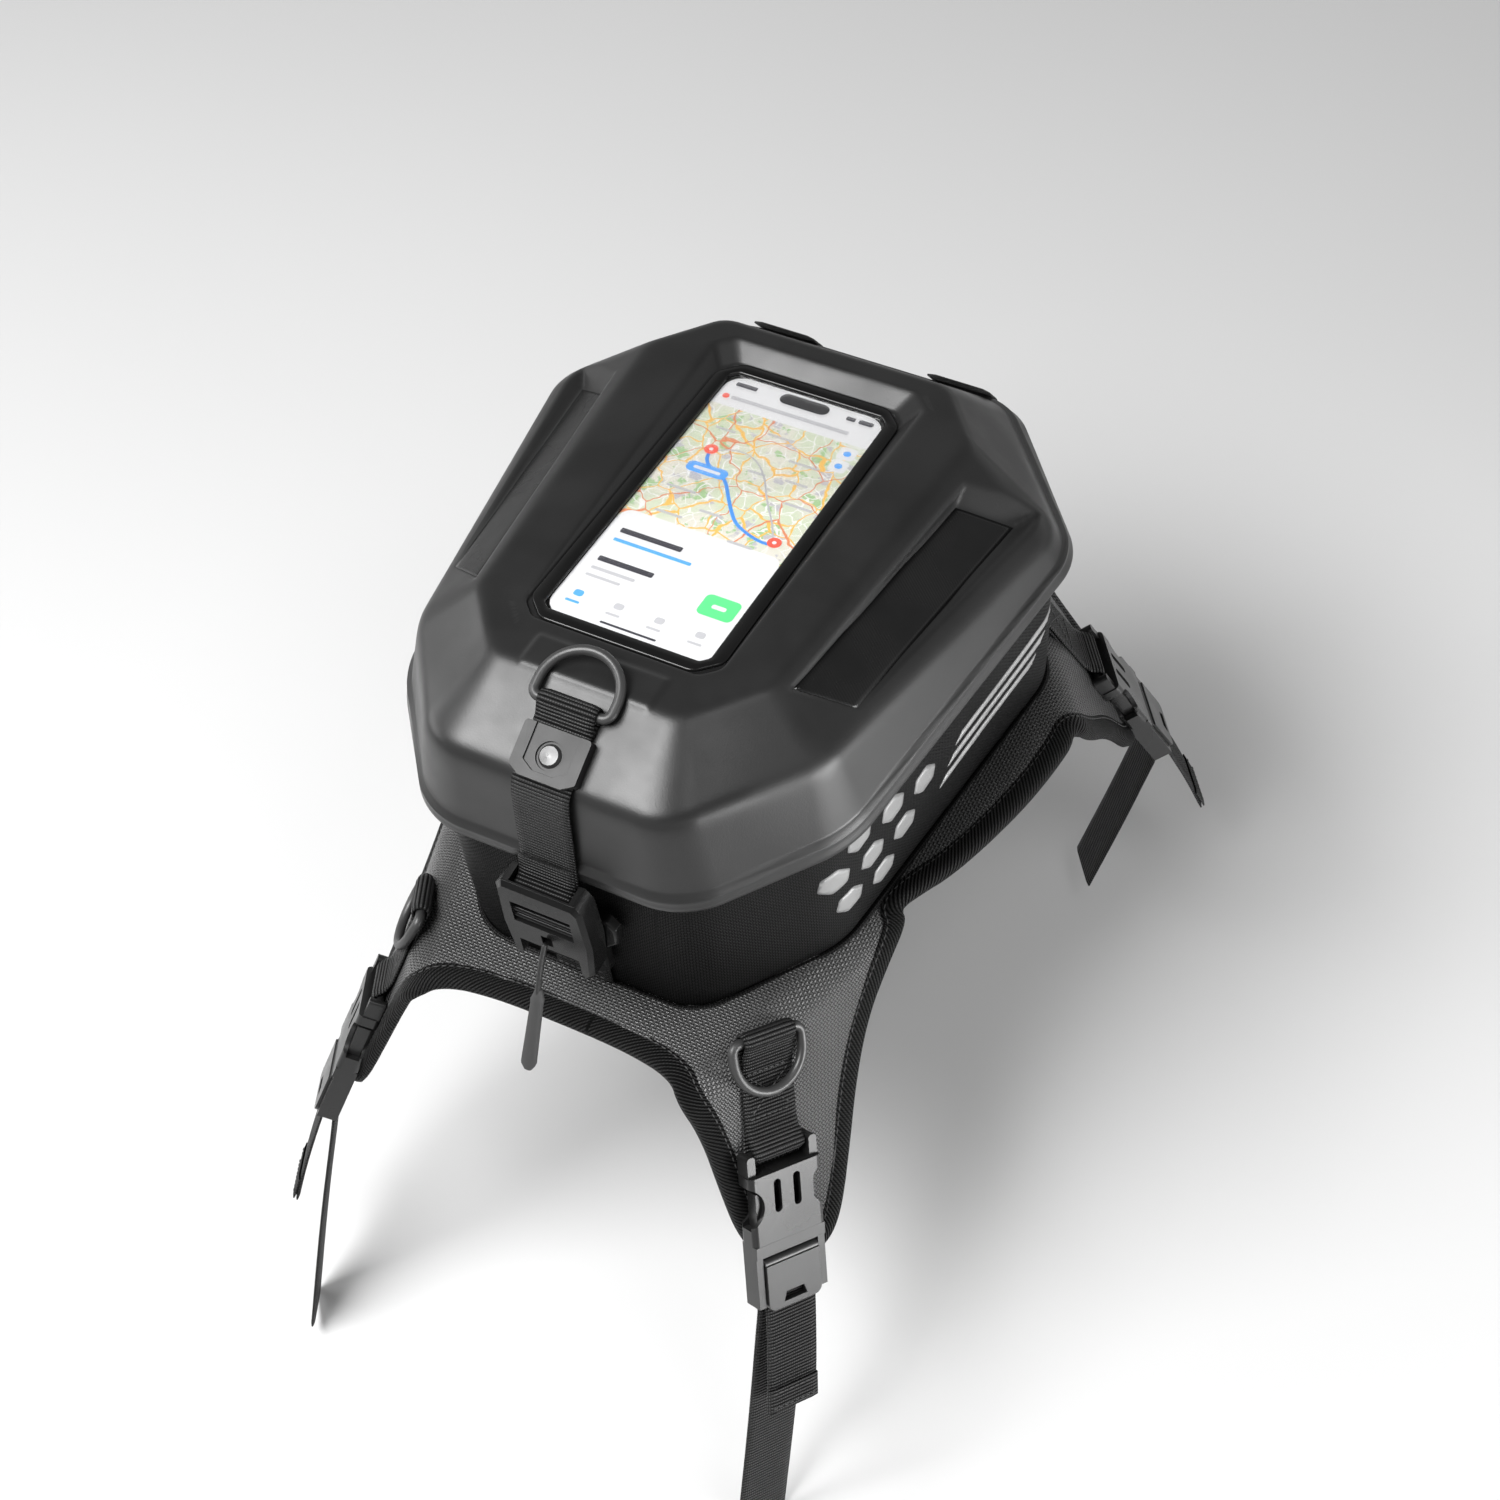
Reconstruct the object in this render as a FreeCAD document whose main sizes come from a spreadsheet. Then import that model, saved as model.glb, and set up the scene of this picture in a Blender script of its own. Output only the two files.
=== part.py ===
import FreeCAD, Part
import math
import os
import Sketcher

# Motorcycle tank bag: a hard clamshell lid on a soft body, strapped to the tank
# by a four-legged harness.  Millimetres.  +Y points to the handlebars, +X to the
# rider's right, +Z up.  The origin is the middle of the grip pad's underside.
# "rider" names the end by the seat and "bars" the end by the handlebars.

DIMENSIONS = {
    # layers below the bag
    "grip_pad_thickness": 2, "panel_thickness": 3, "base_level": 5, "binding_width": 10,
    "binding_thickness": 4,
    # body: eight-sided, half widths (half) and fore-aft stations
    "floor_rider_half": 49, "floor_rider": 133, "floor_waist_half": 88, "floor_waist": 80,
    "floor_shoulder_half": 109, "floor_shoulder": 76, "floor_bars_half": 64, "floor_bars": 136,
    "body_top_level": 86, "body_top_inset": 8.5, "body_wall": 5, "floor_thickness": 3,
    "liner_gap": 0.3, "liner_wall": 1.5, "body_rim_height": 3, "body_rim_width": 6,
    "floor_board": 3,
    # lid: rim, brow (where the wall meets the facets) and plateau
    "rim_level": 86, "rim_rider_half": 56, "rim_rider": 138, "rim_waist_half": 99,
    "rim_waist": 84, "rim_shoulder_half": 121, "rim_shoulder": 78, "rim_bars_half": 66,
    "rim_bars": 143, "lid_wall": 4,
    "brow_level": 115.4, "brow_tilt": 7.6, "brow_rider_half": 51, "brow_rider": 132,
    "brow_waist_half": 89, "brow_waist": 78, "brow_shoulder_half": 114, "brow_shoulder": 73,
    "brow_bars_half": 61, "brow_bars": 136,
    "plateau_level": 140.6, "plateau_tilt": 6, "plateau_rider_half": 39, "plateau_rider": 96,
    "plateau_waist_half": 63, "plateau_waist": 68, "plateau_shoulder_half": 73.4,
    "plateau_shoulder": 82, "plateau_bars_half": 51.5, "plateau_bars": 109,
    "seal_inset": 8.3, "seal_foot": 0.2, "seal_height": 2,
    # phone window, in a plane that sinks towards the bars end
    "window_centre": 9, "window_level": 136.3, "window_tilt": 7.66, "window_width": 83,
    "window_length": 166, "window_border": 6, "frame_thickness": 1, "film_thickness": 0.6,
    "phone_width": 76, "phone_length": 160, "phone_thickness": 8, "phone_corner": 9,
    "boss_thickness": 5, "recess_depth": 9, "recess_spread": 7, "recess_corner": 4.5,
    "frame_corner": 9, "pocket_margin": 6, "pocket_depth": 7, "flap_thickness": 2,
    # glossy inlays on the lid's side facets
    "inlay_length": 119, "inlay_width": 23, "inlay_slant": 15, "inlay_thickness": 1,
    # webbing and rings
    "webbing_width": 25, "webbing_thickness": 1.6, "running_gap": 0.1, "wire_radius": 2,
    "ring_half": 16.5, "ring_arm": 6.5, "ring_corner": 3.5, "bar_height": 3.9,
    "ring_lift": 6.5, "lid_ring_at": 10, "lid_ring_sink": 9,
    # side release buckle with a cam lever, distances from the anchor bar
    "socket_bar_radius": 1.6, "socket_bar_at": 48, "socket_bar_height": 4.6,
    "socket_start": 46.4, "socket_body": 55, "socket_end": 85, "socket_width": 35,
    "socket_floor": 1, "socket_top": 11, "cavity_half": 14.5, "cavity_floor": 3,
    "cavity_top": 9, "cavity_start": 60, "plug_shoulder": 90.5, "rail_end": 113,
    "rail_width": 3.4, "cam_axis": 94.5, "cam_axis_height": 7.5, "cam_radius": 3.2,
    "stub_radius": 1.5, "wrap_bar_at": 102, "wrap_bar_height": 4.6, "wrap_bar_radius": 1.7,
    "lever_end": 115, "lever_half": 13.2, "guide_half": 2.5, "prong_width": 5.3,
    "slot_inner": 3, "slot_outer": 6.5, "finger_hole_near": 6.5, "finger_hole_far": 2.6,
    "arm_inner": 13.2, "arm_round": 1.5, "pinch_at": 68, "pinch_out": 20.5,
    "pinch_radius": 9, "lever_round": 3.5,
    # straps: the knee where the long run turns down, and the free tail
    "strap_knee": 117, "tail_length": 50, "tail_slope": 5, "rear_strap_length": 122,
    "rear_strap_fall": 14, "front_strap_length": 95, "front_strap_fall": 46,
    # closure buckle on the rider's end
    "strap_bar_level": 81, "strap_bar_out": 145.6, "strap_bar_radius": 1.7,
    "buckle_half": 19, "buckle_top": 87, "buckle_foot": 36, "buckle_back": 141,
    "buckle_front": 152, "buckle_window_half": 13.2, "buckle_arch": 50,
    "buckle_widest": 60, "buckle_cover": 2.6, "buckle_cover_foot": 76,
    "buckle_pocket_foot": 63, "buckle_rib_low": 65.5, "buckle_rib_high": 69.5,
    "buckle_rib_radius": 1.2, "buckle_bevel": 1.8, "cord_slot_half": 2.4,
    "cord_level": 57, "cord_out": 153.5,
    "cord_radius": 1.7, "cord_lean": 30, "cord_length": 25, "tab_length": 32,
    "tab_root_width": 4.6, "tab_tip_width": 6.4, "tab_thickness": 4,
    "catch_half": 17, "catch_top": 62, "catch_foot": 24, "catch_thickness": 5,
    "catch_wing_half": 24.5, "catch_wing_foot": 52, "catch_wing_top": 61,
    "catch_neck": 44, "catch_webbing_half": 13,
    # lid hinge
    "hinge_out": 146, "hinge_level": 84, "hinge_tab_offset": 41, "hinge_tab_width": 29,
    "hinge_tab_thickness": 2.2, "hinge_lid_leaf": 12.5, "hinge_body_foot": 52,
    "hinge_body_knee": 68,
    # keeper plate that clamps the closure strap to the lid
    "keeper_start": 19, "keeper_end": 39.5, "keeper_width": 28, "keeper_thickness": 5,
    "keeper_round": 5, "keeper_rail": 4.7, "keeper_recess": 0.8, "rivet_well": 1.6,
    "rivet_head_radius": 4.6, "rivet_shank_radius": 2.5, "rivet_grip": 6.2,
    # reflective patches on the body's long walls
    "patch_thickness": 0.5, "patch_lift": 0.8,
}

# Hexagon patches: cells of a slanted lattice on a wall, counted in steps towards
# the rider's end and rises towards the floor, from a first centre.
HEX_START = (55.5, 48.0)
HEX_STEP = (-22.5, 7.5)
HEX_RISE = (7.5, -21.0)
HEX_CELLS = [(0, 0), (1, 0), (2, 0), (1, 1), (2, 1), (3, 1), (2, 2), (3, 2)]
HEX_CORNERS = [(2, 1), (1, 2), (-1, 1), (-2, -1), (-1, -2), (1, -1)]
HEX_SPREAD = 0.21
# Plain bars: start, end and level of each, with their shared height and slants.
SIDE_BARS = [(66, 136, 27), (72, 143, 35), (78, 150, 43)]
BAR_HEIGHT, BAR_DRIFT, BAR_RISE = 4.5, 5.0, 4.0

# Harness legs: where the fold starts on the base, the compass direction that the
# leg faces, how far it folds down, how its buckle leans in the leg's plane and
# where the buckle's anchor bar lies (along the fold, below the fold).
LEGS = {
    "rear": {"fold": (75.4, -135.3), "facing": -18.2, "drop": 63.3, "lean": -24.0,
             "anchor": (5.0, -2.0)},
    "front": {"fold": (97.0, 100.0), "facing": 38.0, "drop": 64.0, "lean": -4.0,
              "anchor": (11.0, -6.0)},
}

# Outlines in each leg's own plane: (below the fold, along the fold).
REAR_LEG = [(-1, -38), (20, -37), (45, -41), (68, -44), (84, -41), (95, -33), (101, -20),
            (100, -10), (92, 0), (72, 15), (48, 32), (29, 49), (17, 66), (6, 84), (-1, 85)]
FRONT_LEG = [(-1, -55), (8, -53), (24, -46), (52, -28), (74, -22), (86, -12), (90, 4),
             (87, 20), (78, 28), (60, 33), (30, 40), (8, 50), (-1, 53)]
# Free edges of the base panel's right half; the folds of the legs join them.
RIDER_EDGE = [(0, -157), (30, -157.5), (52, -161)]
WAIST_EDGE = [(106, -42), (113, -28), (120, -8), (127, 18), (131, 46)]
BARS_EDGE = [(58, 147), (0, 147)]

doc = FreeCAD.newDocument("tank_bag")
sheet = doc.addObject("Spreadsheet::Sheet", "sheet")
for row, (alias, value) in enumerate(DIMENSIONS.items(), start=1):
    sheet.set("A%d" % row, alias.replace("_", " "))
    sheet.set("B%d" % row, str(value))
    sheet.setAlias("B%d" % row, alias)
doc.recompute()

V = FreeCAD.Vector
parts = {}


def size(expression):
    """Value of an expression in the sheet's aliases."""
    return float(sheet.evalExpression(linked(expression)))


def linked(expression):
    """Put the sheet's name in front of each alias of an expression."""
    words = "".join(c if c.isalnum() or c == "_" else " " for c in expression).split()
    for word in sorted(set(words), key=len, reverse=True):
        if word in DIMENSIONS:
            pieces = split_words(expression)
            expression = "".join("sheet." + p if p == word else p for p in pieces)
    return expression


def split_words(text):
    """Cut a text into words (with any sheet. prefix) and the signs between them."""
    pieces = []
    for c in text:
        in_word = c.isalnum() or c in "_."
        if pieces and in_word and (pieces[-1][-1].isalnum() or pieces[-1][-1] in "_."):
            pieces[-1] += c
        else:
            pieces.append(c)
    return pieces


def keep(node, solid):
    """Register an object as the sub-part that fills one file."""
    solid.Label = node
    parts[node] = solid
    return solid


# ---------------------------------------------------------------- sketch helpers

def bind_point(sketch, geometry, end, x, y):
    """Hold one end of a line at (x, y), each an expression or a number."""
    for kind, value in (("DistanceX", x), ("DistanceY", y)):
        number = size(str(value))
        index = sketch.addConstraint(
            Sketcher.Constraint(kind, -1, 1, geometry, end, number))
        if isinstance(value, str):
            sketch.setExpression("Constraints[%d]" % index, linked(value))


def polygon(sketch, points):
    """Closed polyline whose corners follow the sheet."""
    places = [V(size(str(x)), size(str(y)), 0) for x, y in points]
    first = sketch.GeometryCount
    count = len(points)
    for i in range(count):
        sketch.addGeometry(Part.LineSegment(places[i], places[(i + 1) % count]))
    for i in range(count):
        sketch.addConstraint(Sketcher.Constraint(
            "Coincident", first + i, 2, first + (i + 1) % count, 1))
        bind_point(sketch, first + i, 1, *points[i])


def mirrored_polygon(sketch, right):
    """Closed outline from its right half, running one way; the left half mirrors it."""
    polygon(sketch, right + [("-(%s)" % x, y) for x, y in reversed(right)])


def circle(sketch, x, y, radius):
    """Circle whose centre and radius follow the sheet."""
    centre = V(size(str(x)), size(str(y)), 0)
    index = sketch.addGeometry(Part.Circle(centre, V(0, 0, 1), size(str(radius))))
    bind_point(sketch, index, 3, x, y)
    held = sketch.addConstraint(Sketcher.Constraint("Radius", index, size(str(radius))))
    if isinstance(radius, str):
        sketch.setExpression("Constraints[%d]" % held, linked(radius))


def rectangle(sketch, x_low, x_high, y_low, y_high):
    polygon(sketch, [(x_low, y_low), (x_high, y_low), (x_high, y_high), (x_low, y_high)])


class Piece:
    """A PartDesign body with short calls for its sketches and features."""

    def __init__(self, name):
        self.name = name
        self.body = doc.addObject("PartDesign::Body", name)
        self.body.AllowCompound = True
        self.count = 0

    def plane(self, role):
        return next(f for f in self.body.Origin.OriginFeatures if f.Role == role)

    def sketch(self, role, level="0"):
        """Sketch on an origin plane, lifted along the plane's normal by level."""
        self.count += 1
        made = self.body.newObject("Sketcher::SketchObject", "%s_s%d" % (self.name, self.count))
        made.AttachmentSupport = [(self.plane(role), "")]
        made.MapMode = "FlatFace"
        made.AttachmentOffset = FreeCAD.Placement(V(0, 0, size(level)), FreeCAD.Rotation())
        made.setExpression("AttachmentOffset.Base.z", linked(level))
        return made

    def feature(self, kind, profile, length, symmetric):
        self.count += 1
        made = self.body.newObject("PartDesign::" + kind, "%s_f%d" % (self.name, self.count))
        made.Profile = profile
        made.Length = size(length)
        made.setExpression("Length", linked(length))
        if symmetric:
            made.SideType = "Symmetric"
        profile.Visibility = False
        return made

    def pad(self, profile, length, symmetric=False):
        return self.feature("Pad", profile, length, symmetric)

    def pocket(self, profile, length, symmetric=False, reverse=False):
        """Cut a pocket, and fail loudly if it removed nothing."""
        doc.recompute()
        before = self.body.Shape.Volume
        made = self.feature("Pocket", profile, length, symmetric)
        made.Reversed = reverse
        doc.recompute()
        if self.body.Shape.Volume >= before - 1e-6:
            raise RuntimeError("%s cuts nothing" % made.Name)
        return made

    def dress(self, kind, edges, amount):
        """Fillet or chamfer of the edges that a test picks."""
        doc.recompute()
        tip = self.body.Tip
        names = ["Edge%d" % (i + 1) for i, e in enumerate(tip.Shape.Edges) if edges(e)]
        if not names:
            raise RuntimeError("no edge to dress on %s" % self.name)
        self.count += 1
        made = self.body.newObject("PartDesign::" + kind, "%s_d%d" % (self.name, self.count))
        made.Base = (tip, names)
        sized = "Radius" if kind == "Fillet" else "Size"
        setattr(made, sized, size(str(amount)))
        if isinstance(amount, str):
            made.setExpression(sized, linked(amount))
        doc.recompute()
        return made


def along(axis):
    """Test for straight edges that run along a vector."""
    def test(edge):
        if edge.Curve.TypeId != "Part::GeomLine":
            return False
        return abs(abs(edge.Curve.Direction.dot(axis)) - 1) < 1e-6
    return test


def boolean(kind, name, base, tool):
    made = doc.addObject("Part::" + kind, name)
    made.Base = base
    made.Tool = tool
    return made


def fuse_all(name, shapes):
    made = doc.addObject("Part::MultiFuse", name)
    made.Shapes = shapes
    made.Refine = True
    return made


# ---------------------------------------------------------------- eight-sided shells

def octagon(name, prefix, inset, level, tilt=None):
    """Free sketch of one eight-sided section, drawn in by inset."""
    lean = "cos(%s_tilt)" % tilt if tilt else "1"
    right = []
    for station, sign in (("rider", -1), ("waist", -1), ("shoulder", 1), ("bars", 1)):
        half = "%s_%s_half - (%s)" % (prefix, station, inset)
        reach = "(%s_%s - (%s)) / %s" % (prefix, station, inset, lean)
        right.append((half, reach if sign > 0 else "-" + reach))
    left = [("-(%s)" % x, y) for x, y in reversed(right)]
    section = doc.addObject("Sketcher::SketchObject", name)
    polygon(section, right + left)
    angle = -size(tilt + "_tilt") if tilt else 0
    section.Placement = FreeCAD.Placement(V(0, 0, size(level)),
                                          FreeCAD.Rotation(V(1, 0, 0), angle))
    section.setExpression("Placement.Base.z", linked(level))
    if tilt:
        section.setExpression("Placement.Rotation.Angle", linked("-%s_tilt" % tilt))
    section.Visibility = False
    return section


def loft(name, sections):
    made = doc.addObject("Part::Loft", name)
    made.Sections = sections
    made.Solid = True
    made.Ruled = True
    return made


def body_sections(name, inset, low, high):
    """Body section at two heights: the floor's outline and the top's outline."""
    return loft(name, [
        octagon(name + "_low", "floor", inset, low),
        octagon(name + "_high", "rim", "body_top_inset + %s" % inset, high)])


def make_body():
    outer = body_sections("body_outer", "0", "base_level", "body_top_level")
    inner = body_sections("body_inner", "body_wall", "base_level + floor_thickness",
                          "body_top_level")
    keep("bag_body", boolean("Cut", "bag_body", outer, inner))

    liner_foot = "base_level + floor_thickness + liner_gap"
    liner_outer = body_sections("liner_outer", "body_wall + liner_gap", liner_foot,
                                "body_top_level - liner_gap")
    liner_inner = body_sections("liner_inner", "body_wall + liner_gap + liner_wall",
                                liner_foot + " + liner_wall", "body_top_level - liner_gap")
    keep("body_liner", boolean("Cut", "body_liner", liner_outer, liner_inner))

    edge = Piece("body_rim")
    ring = edge.sketch("XY_Plane", "body_top_level")
    for inset in ("body_top_inset", "body_top_inset + body_rim_width"):
        corners = [("rim_%s_half - (%s)" % (s, inset), "rim_%s - (%s)" % (s, inset))
                   for s in ("rider", "waist", "shoulder", "bars")]
        right = [(x, "-(%s)" % y if i < 2 else y) for i, (x, y) in enumerate(corners)]
        polygon(ring, right + [("-(%s)" % x, y) for x, y in reversed(right)])
    edge.pad(ring, "body_rim_height")
    keep("body_rim", edge.body)

    board = Piece("floor_board")
    plan = board.sketch("XY_Plane", liner_foot + " + liner_wall + liner_gap")
    half = [("floor_rider_half - 10", "-(floor_rider - 10)"),
            ("floor_waist_half - 10", "-(floor_waist - 10)"),
            ("floor_shoulder_half - 10", "floor_shoulder - 10"),
            ("floor_bars_half - 10", "floor_bars - 10")]
    polygon(plan, half + [("-(%s)" % x, y) for x, y in reversed(half)])
    board.pad(plan, "floor_board")
    board.dress("Fillet", along(V(0, 0, 1)), 6)
    keep("floor_board", board.body)

    pad = Piece("grip_pad")
    plan = pad.sketch("XY_Plane", "0")
    half = [("floor_rider_half", "-(floor_rider - 2)"), ("floor_waist_half - 4", "-floor_waist"),
            ("floor_shoulder_half - 4", "floor_shoulder - 4"),
            ("floor_bars_half - 4", "floor_bars - 9")]
    polygon(plan, half + [("-(%s)" % x, y) for x, y in reversed(half)])
    pad.pad(plan, "grip_pad_thickness")
    pad.dress("Fillet", along(V(0, 0, 1)), 8)
    keep("grip_pad", pad.body)


# ---------------------------------------------------------------- lid

def lid_sections(name, inset, drop):
    """The lid's three sections, drawn in by inset and lowered by drop."""
    return loft(name, [
        octagon(name + "_rim", "rim", inset, "rim_level - (%s) / 4" % drop),
        octagon(name + "_brow", "brow", inset, "brow_level - (%s)" % drop, "brow"),
        octagon(name + "_plateau", "plateau", inset, "plateau_level - (%s)" % drop, "plateau")])


def window_place(lift=0.0):
    """Frame of the window: +Y down the slope to the bars, +Z out of the lid."""
    turn = FreeCAD.Rotation(V(1, 0, 0), -size("window_tilt"))
    base = V(0, size("window_centre"), size("window_level"))
    return FreeCAD.Placement(base + turn.multVec(V(0, 0, lift)), turn)


def window_box(name, width, length, low, high):
    """Block in the window's frame, between two heights."""
    block = doc.addObject("Part::Box", name)
    block.setExpression("Width", linked(length))
    block.setExpression("Length", linked(width))
    block.setExpression("Height", linked("(%s) - (%s)" % (high, low)))
    place = window_place()
    corner = V(-size(width) / 2, -size(length) / 2, size(low))
    block.Placement = place.multiply(FreeCAD.Placement(corner, FreeCAD.Rotation()))
    return block


def recess_tool():
    """Flared opening above the window plane."""
    sections = []
    for name, spread, level in (("recess_low", "0.6", "0"),
                                ("recess_high", "recess_spread * 2", "recess_depth")):
        flat = doc.addObject("Sketcher::SketchObject", name)
        x = "(window_width + %s) / 2" % spread
        y = "(window_length + %s) / 2" % spread
        half = [(x + " - recess_corner", "-(%s)" % y), (x, "-(%s - recess_corner)" % y),
                (x, y + " - recess_corner"), (x + " - recess_corner", y)]
        polygon(flat, half + [("-(%s)" % a, b) for a, b in reversed(half)])
        flat.Placement = window_place(size(level))
        flat.Visibility = False
        sections.append(flat)
    return loft("recess", sections)


def side_frame(side):
    """Frame on a side facet: +X along the facet, +Z out of it."""
    fall = math.tan(math.radians(size("plateau_tilt")))
    sink = math.tan(math.radians(size("brow_tilt")))
    top_back = V(size("plateau_shoulder_half"), size("plateau_shoulder"),
                 size("plateau_level") - size("plateau_shoulder") * fall)
    top_front = V(size("plateau_waist_half"), -size("plateau_waist"),
                  size("plateau_level") + size("plateau_waist") * fall)
    low_back = V(size("brow_shoulder_half"), size("brow_shoulder"),
                 size("brow_level") - size("brow_shoulder") * sink)
    low_front = V(size("brow_waist_half"), -size("brow_waist"),
                  size("brow_level") + size("brow_waist") * sink)
    middle = (top_back + top_front + low_back + low_front) * 0.25
    run = ((top_back + low_back) - (top_front + low_front)).normalize()
    down = ((low_back + low_front) - (top_back + top_front)).normalize()
    out = (down.cross(run)).normalize()
    if side < 0:
        middle.x, run.x, out.x = -middle.x, -run.x, -out.x
    across = out.cross(run)
    return FreeCAD.Placement(middle, FreeCAD.Rotation(run, across, out, "XZY"))


def inlay(side, name, extra, low, high):
    """Slanted strip on a side facet."""
    strip = Piece(name)
    face = strip.sketch("XY_Plane", low)
    x = "(inlay_length / 2 + %s)" % extra
    y = "(inlay_width / 2 + %s)" % extra
    lean = "inlay_slant / 2 * %d" % -side
    polygon(face, [("-%s - %s" % (x, lean), "-%s" % y), ("%s - %s" % (x, lean), "-%s" % y),
                   ("%s + %s" % (x, lean), y), ("-%s + %s" % (x, lean), y)])
    strip.pad(face, "(%s) - (%s)" % (high, low))
    strip.body.Placement = side_frame(side)
    return strip.body


def make_lid():
    outer = lid_sections("lid_outer", "0", "0")
    inner = lid_sections("lid_inner", "lid_wall", "lid_wall + 0.4")
    hollow = boolean("Cut", "lid_hollow", outer, inner)
    boss_block = window_box("boss_block", "window_width + 14", "window_length + 20",
                            "-boss_thickness", "recess_depth")
    outer_again = lid_sections("lid_outer_again", "0.5", "0.5")
    boss = boolean("Common", "lid_boss", boss_block, outer_again)
    walled = boolean("Fuse", "lid_walled", hollow, boss)
    through = window_box("window_through", "phone_width + 2", "phone_length + 2",
                         "-boss_thickness - 6", "recess_depth")
    rebate = window_box("window_rebate", "window_width - 2.6", "window_length - 2.6",
                        "-film_thickness", "recess_depth")
    tools = [through, rebate, recess_tool()]
    tools += [inlay(side, "inlay_seat_" + hand, "0.1", "-0.1", "4")
              for side, hand in ((1, "right"), (-1, "left"))]
    keep("lid_shell", boolean("Cut", "lid_shell", walled, fuse_all("lid_cuts", tools)))
    for side, hand in ((1, "right"), (-1, "left")):
        keep("side_inlay_" + hand,
             inlay(side, "side_inlay_" + hand, "0", "0", "inlay_thickness"))

    seal = Piece("seal_ring")
    ring = seal.sketch("XY_Plane", "rim_level + seal_foot")
    for inset in ("1", "seal_inset"):
        half = [("rim_%s_half - (%s)" % (s, inset),
                 ("-(rim_%s - (%s))" if s in ("rider", "waist") else "rim_%s - (%s)") % (s, inset))
                for s in ("rider", "waist", "shoulder", "bars")]
        polygon(ring, half + [("-(%s)" % x, y) for x, y in reversed(half)])
    seal.pad(ring, "seal_height")
    inside = lid_sections("seal_bound", "lid_wall + running_gap", "lid_wall + 0.5")
    keep("lid_seal", boolean("Common", "lid_seal", seal.body, inside))


def window_plate(node, width, length, low, high, corner, hole=None):
    """Rounded plate, or ring, in the window's frame."""
    plate = Piece(node)
    flat = plate.sketch("XY_Plane", low)
    rectangle(flat, "-(%s) / 2" % width, "(%s) / 2" % width,
              "-(%s) / 2" % length, "(%s) / 2" % length)
    plate.pad(flat, "(%s) - (%s)" % (high, low))
    if corner:
        plate.dress("Fillet", along(V(0, 0, 1)), corner)
    if hole:
        cut = plate.sketch("XY_Plane", high)
        rectangle(cut, "-(%s) / 2" % hole[0], "(%s) / 2" % hole[0],
                  "-(%s) / 2" % hole[1], "(%s) / 2" % hole[1])
        plate.pocket(cut, "(%s) - (%s)" % (high, low))
    plate.body.Placement = window_place()
    return keep(node, plate.body)


def make_window():
    window_plate("window_frame", "window_width", "window_length", "0", "frame_thickness",
                 "frame_corner",
                 ("window_width - 2 * window_border", "window_length - 2 * window_border"))
    window_plate("window_film", "window_width - 3", "window_length - 3", "-film_thickness",
                 "0", 0)
    window_plate("phone", "phone_width", "phone_length", "-film_thickness - phone_thickness",
                 "-film_thickness - running_gap", "phone_corner", None)
    pocket_top = "-boss_thickness - running_gap"
    pocket_foot = "-boss_thickness - pocket_depth"
    window_plate("phone_pocket", "phone_width + 2 + 2 * pocket_margin",
                 "phone_length + 2 + 2 * pocket_margin", pocket_foot, pocket_top, 4,
                 ("phone_width + 2", "phone_length + 2"))
    flap_top = pocket_foot + " - running_gap"
    window_plate("pocket_flap", "phone_width + 2 + 2 * pocket_margin",
                 "phone_length + 2 + 2 * pocket_margin", flap_top + " - flap_thickness",
                 flap_top, 4)


# ---------------------------------------------------------------- reflective marks

def wall_frame(side):
    """Frame on a long wall of the body: +X along the wall, +Y up it, +Z out.  The
    wall is slightly twisted, so the frame takes its mean directions."""
    low_rider = V(size("floor_waist_half"), -size("floor_waist"), size("base_level"))
    low_bars = V(size("floor_shoulder_half"), size("floor_shoulder"), size("base_level"))
    top_rider = V(size("rim_waist_half - body_top_inset"),
                  -size("rim_waist - body_top_inset"), size("body_top_level"))
    top_bars = V(size("rim_shoulder_half - body_top_inset"),
                 size("rim_shoulder - body_top_inset"), size("body_top_level"))
    centre = (low_rider + low_bars + top_rider + top_bars) * 0.25
    half_run = (low_bars + top_bars - low_rider - top_rider) * 0.25
    half_up = (top_rider + top_bars - low_rider - low_bars) * 0.25
    out = half_run.cross(half_up).normalize()
    origin = centre - half_run - half_up + out * size("patch_lift")
    run = V(half_run).normalize()
    if side < 0:
        origin.x, run.x, out.x = -origin.x, -run.x, -out.x
    across = out.cross(run)
    return FreeCAD.Placement(origin, FreeCAD.Rotation(run, across, out, "XZY"))


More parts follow.
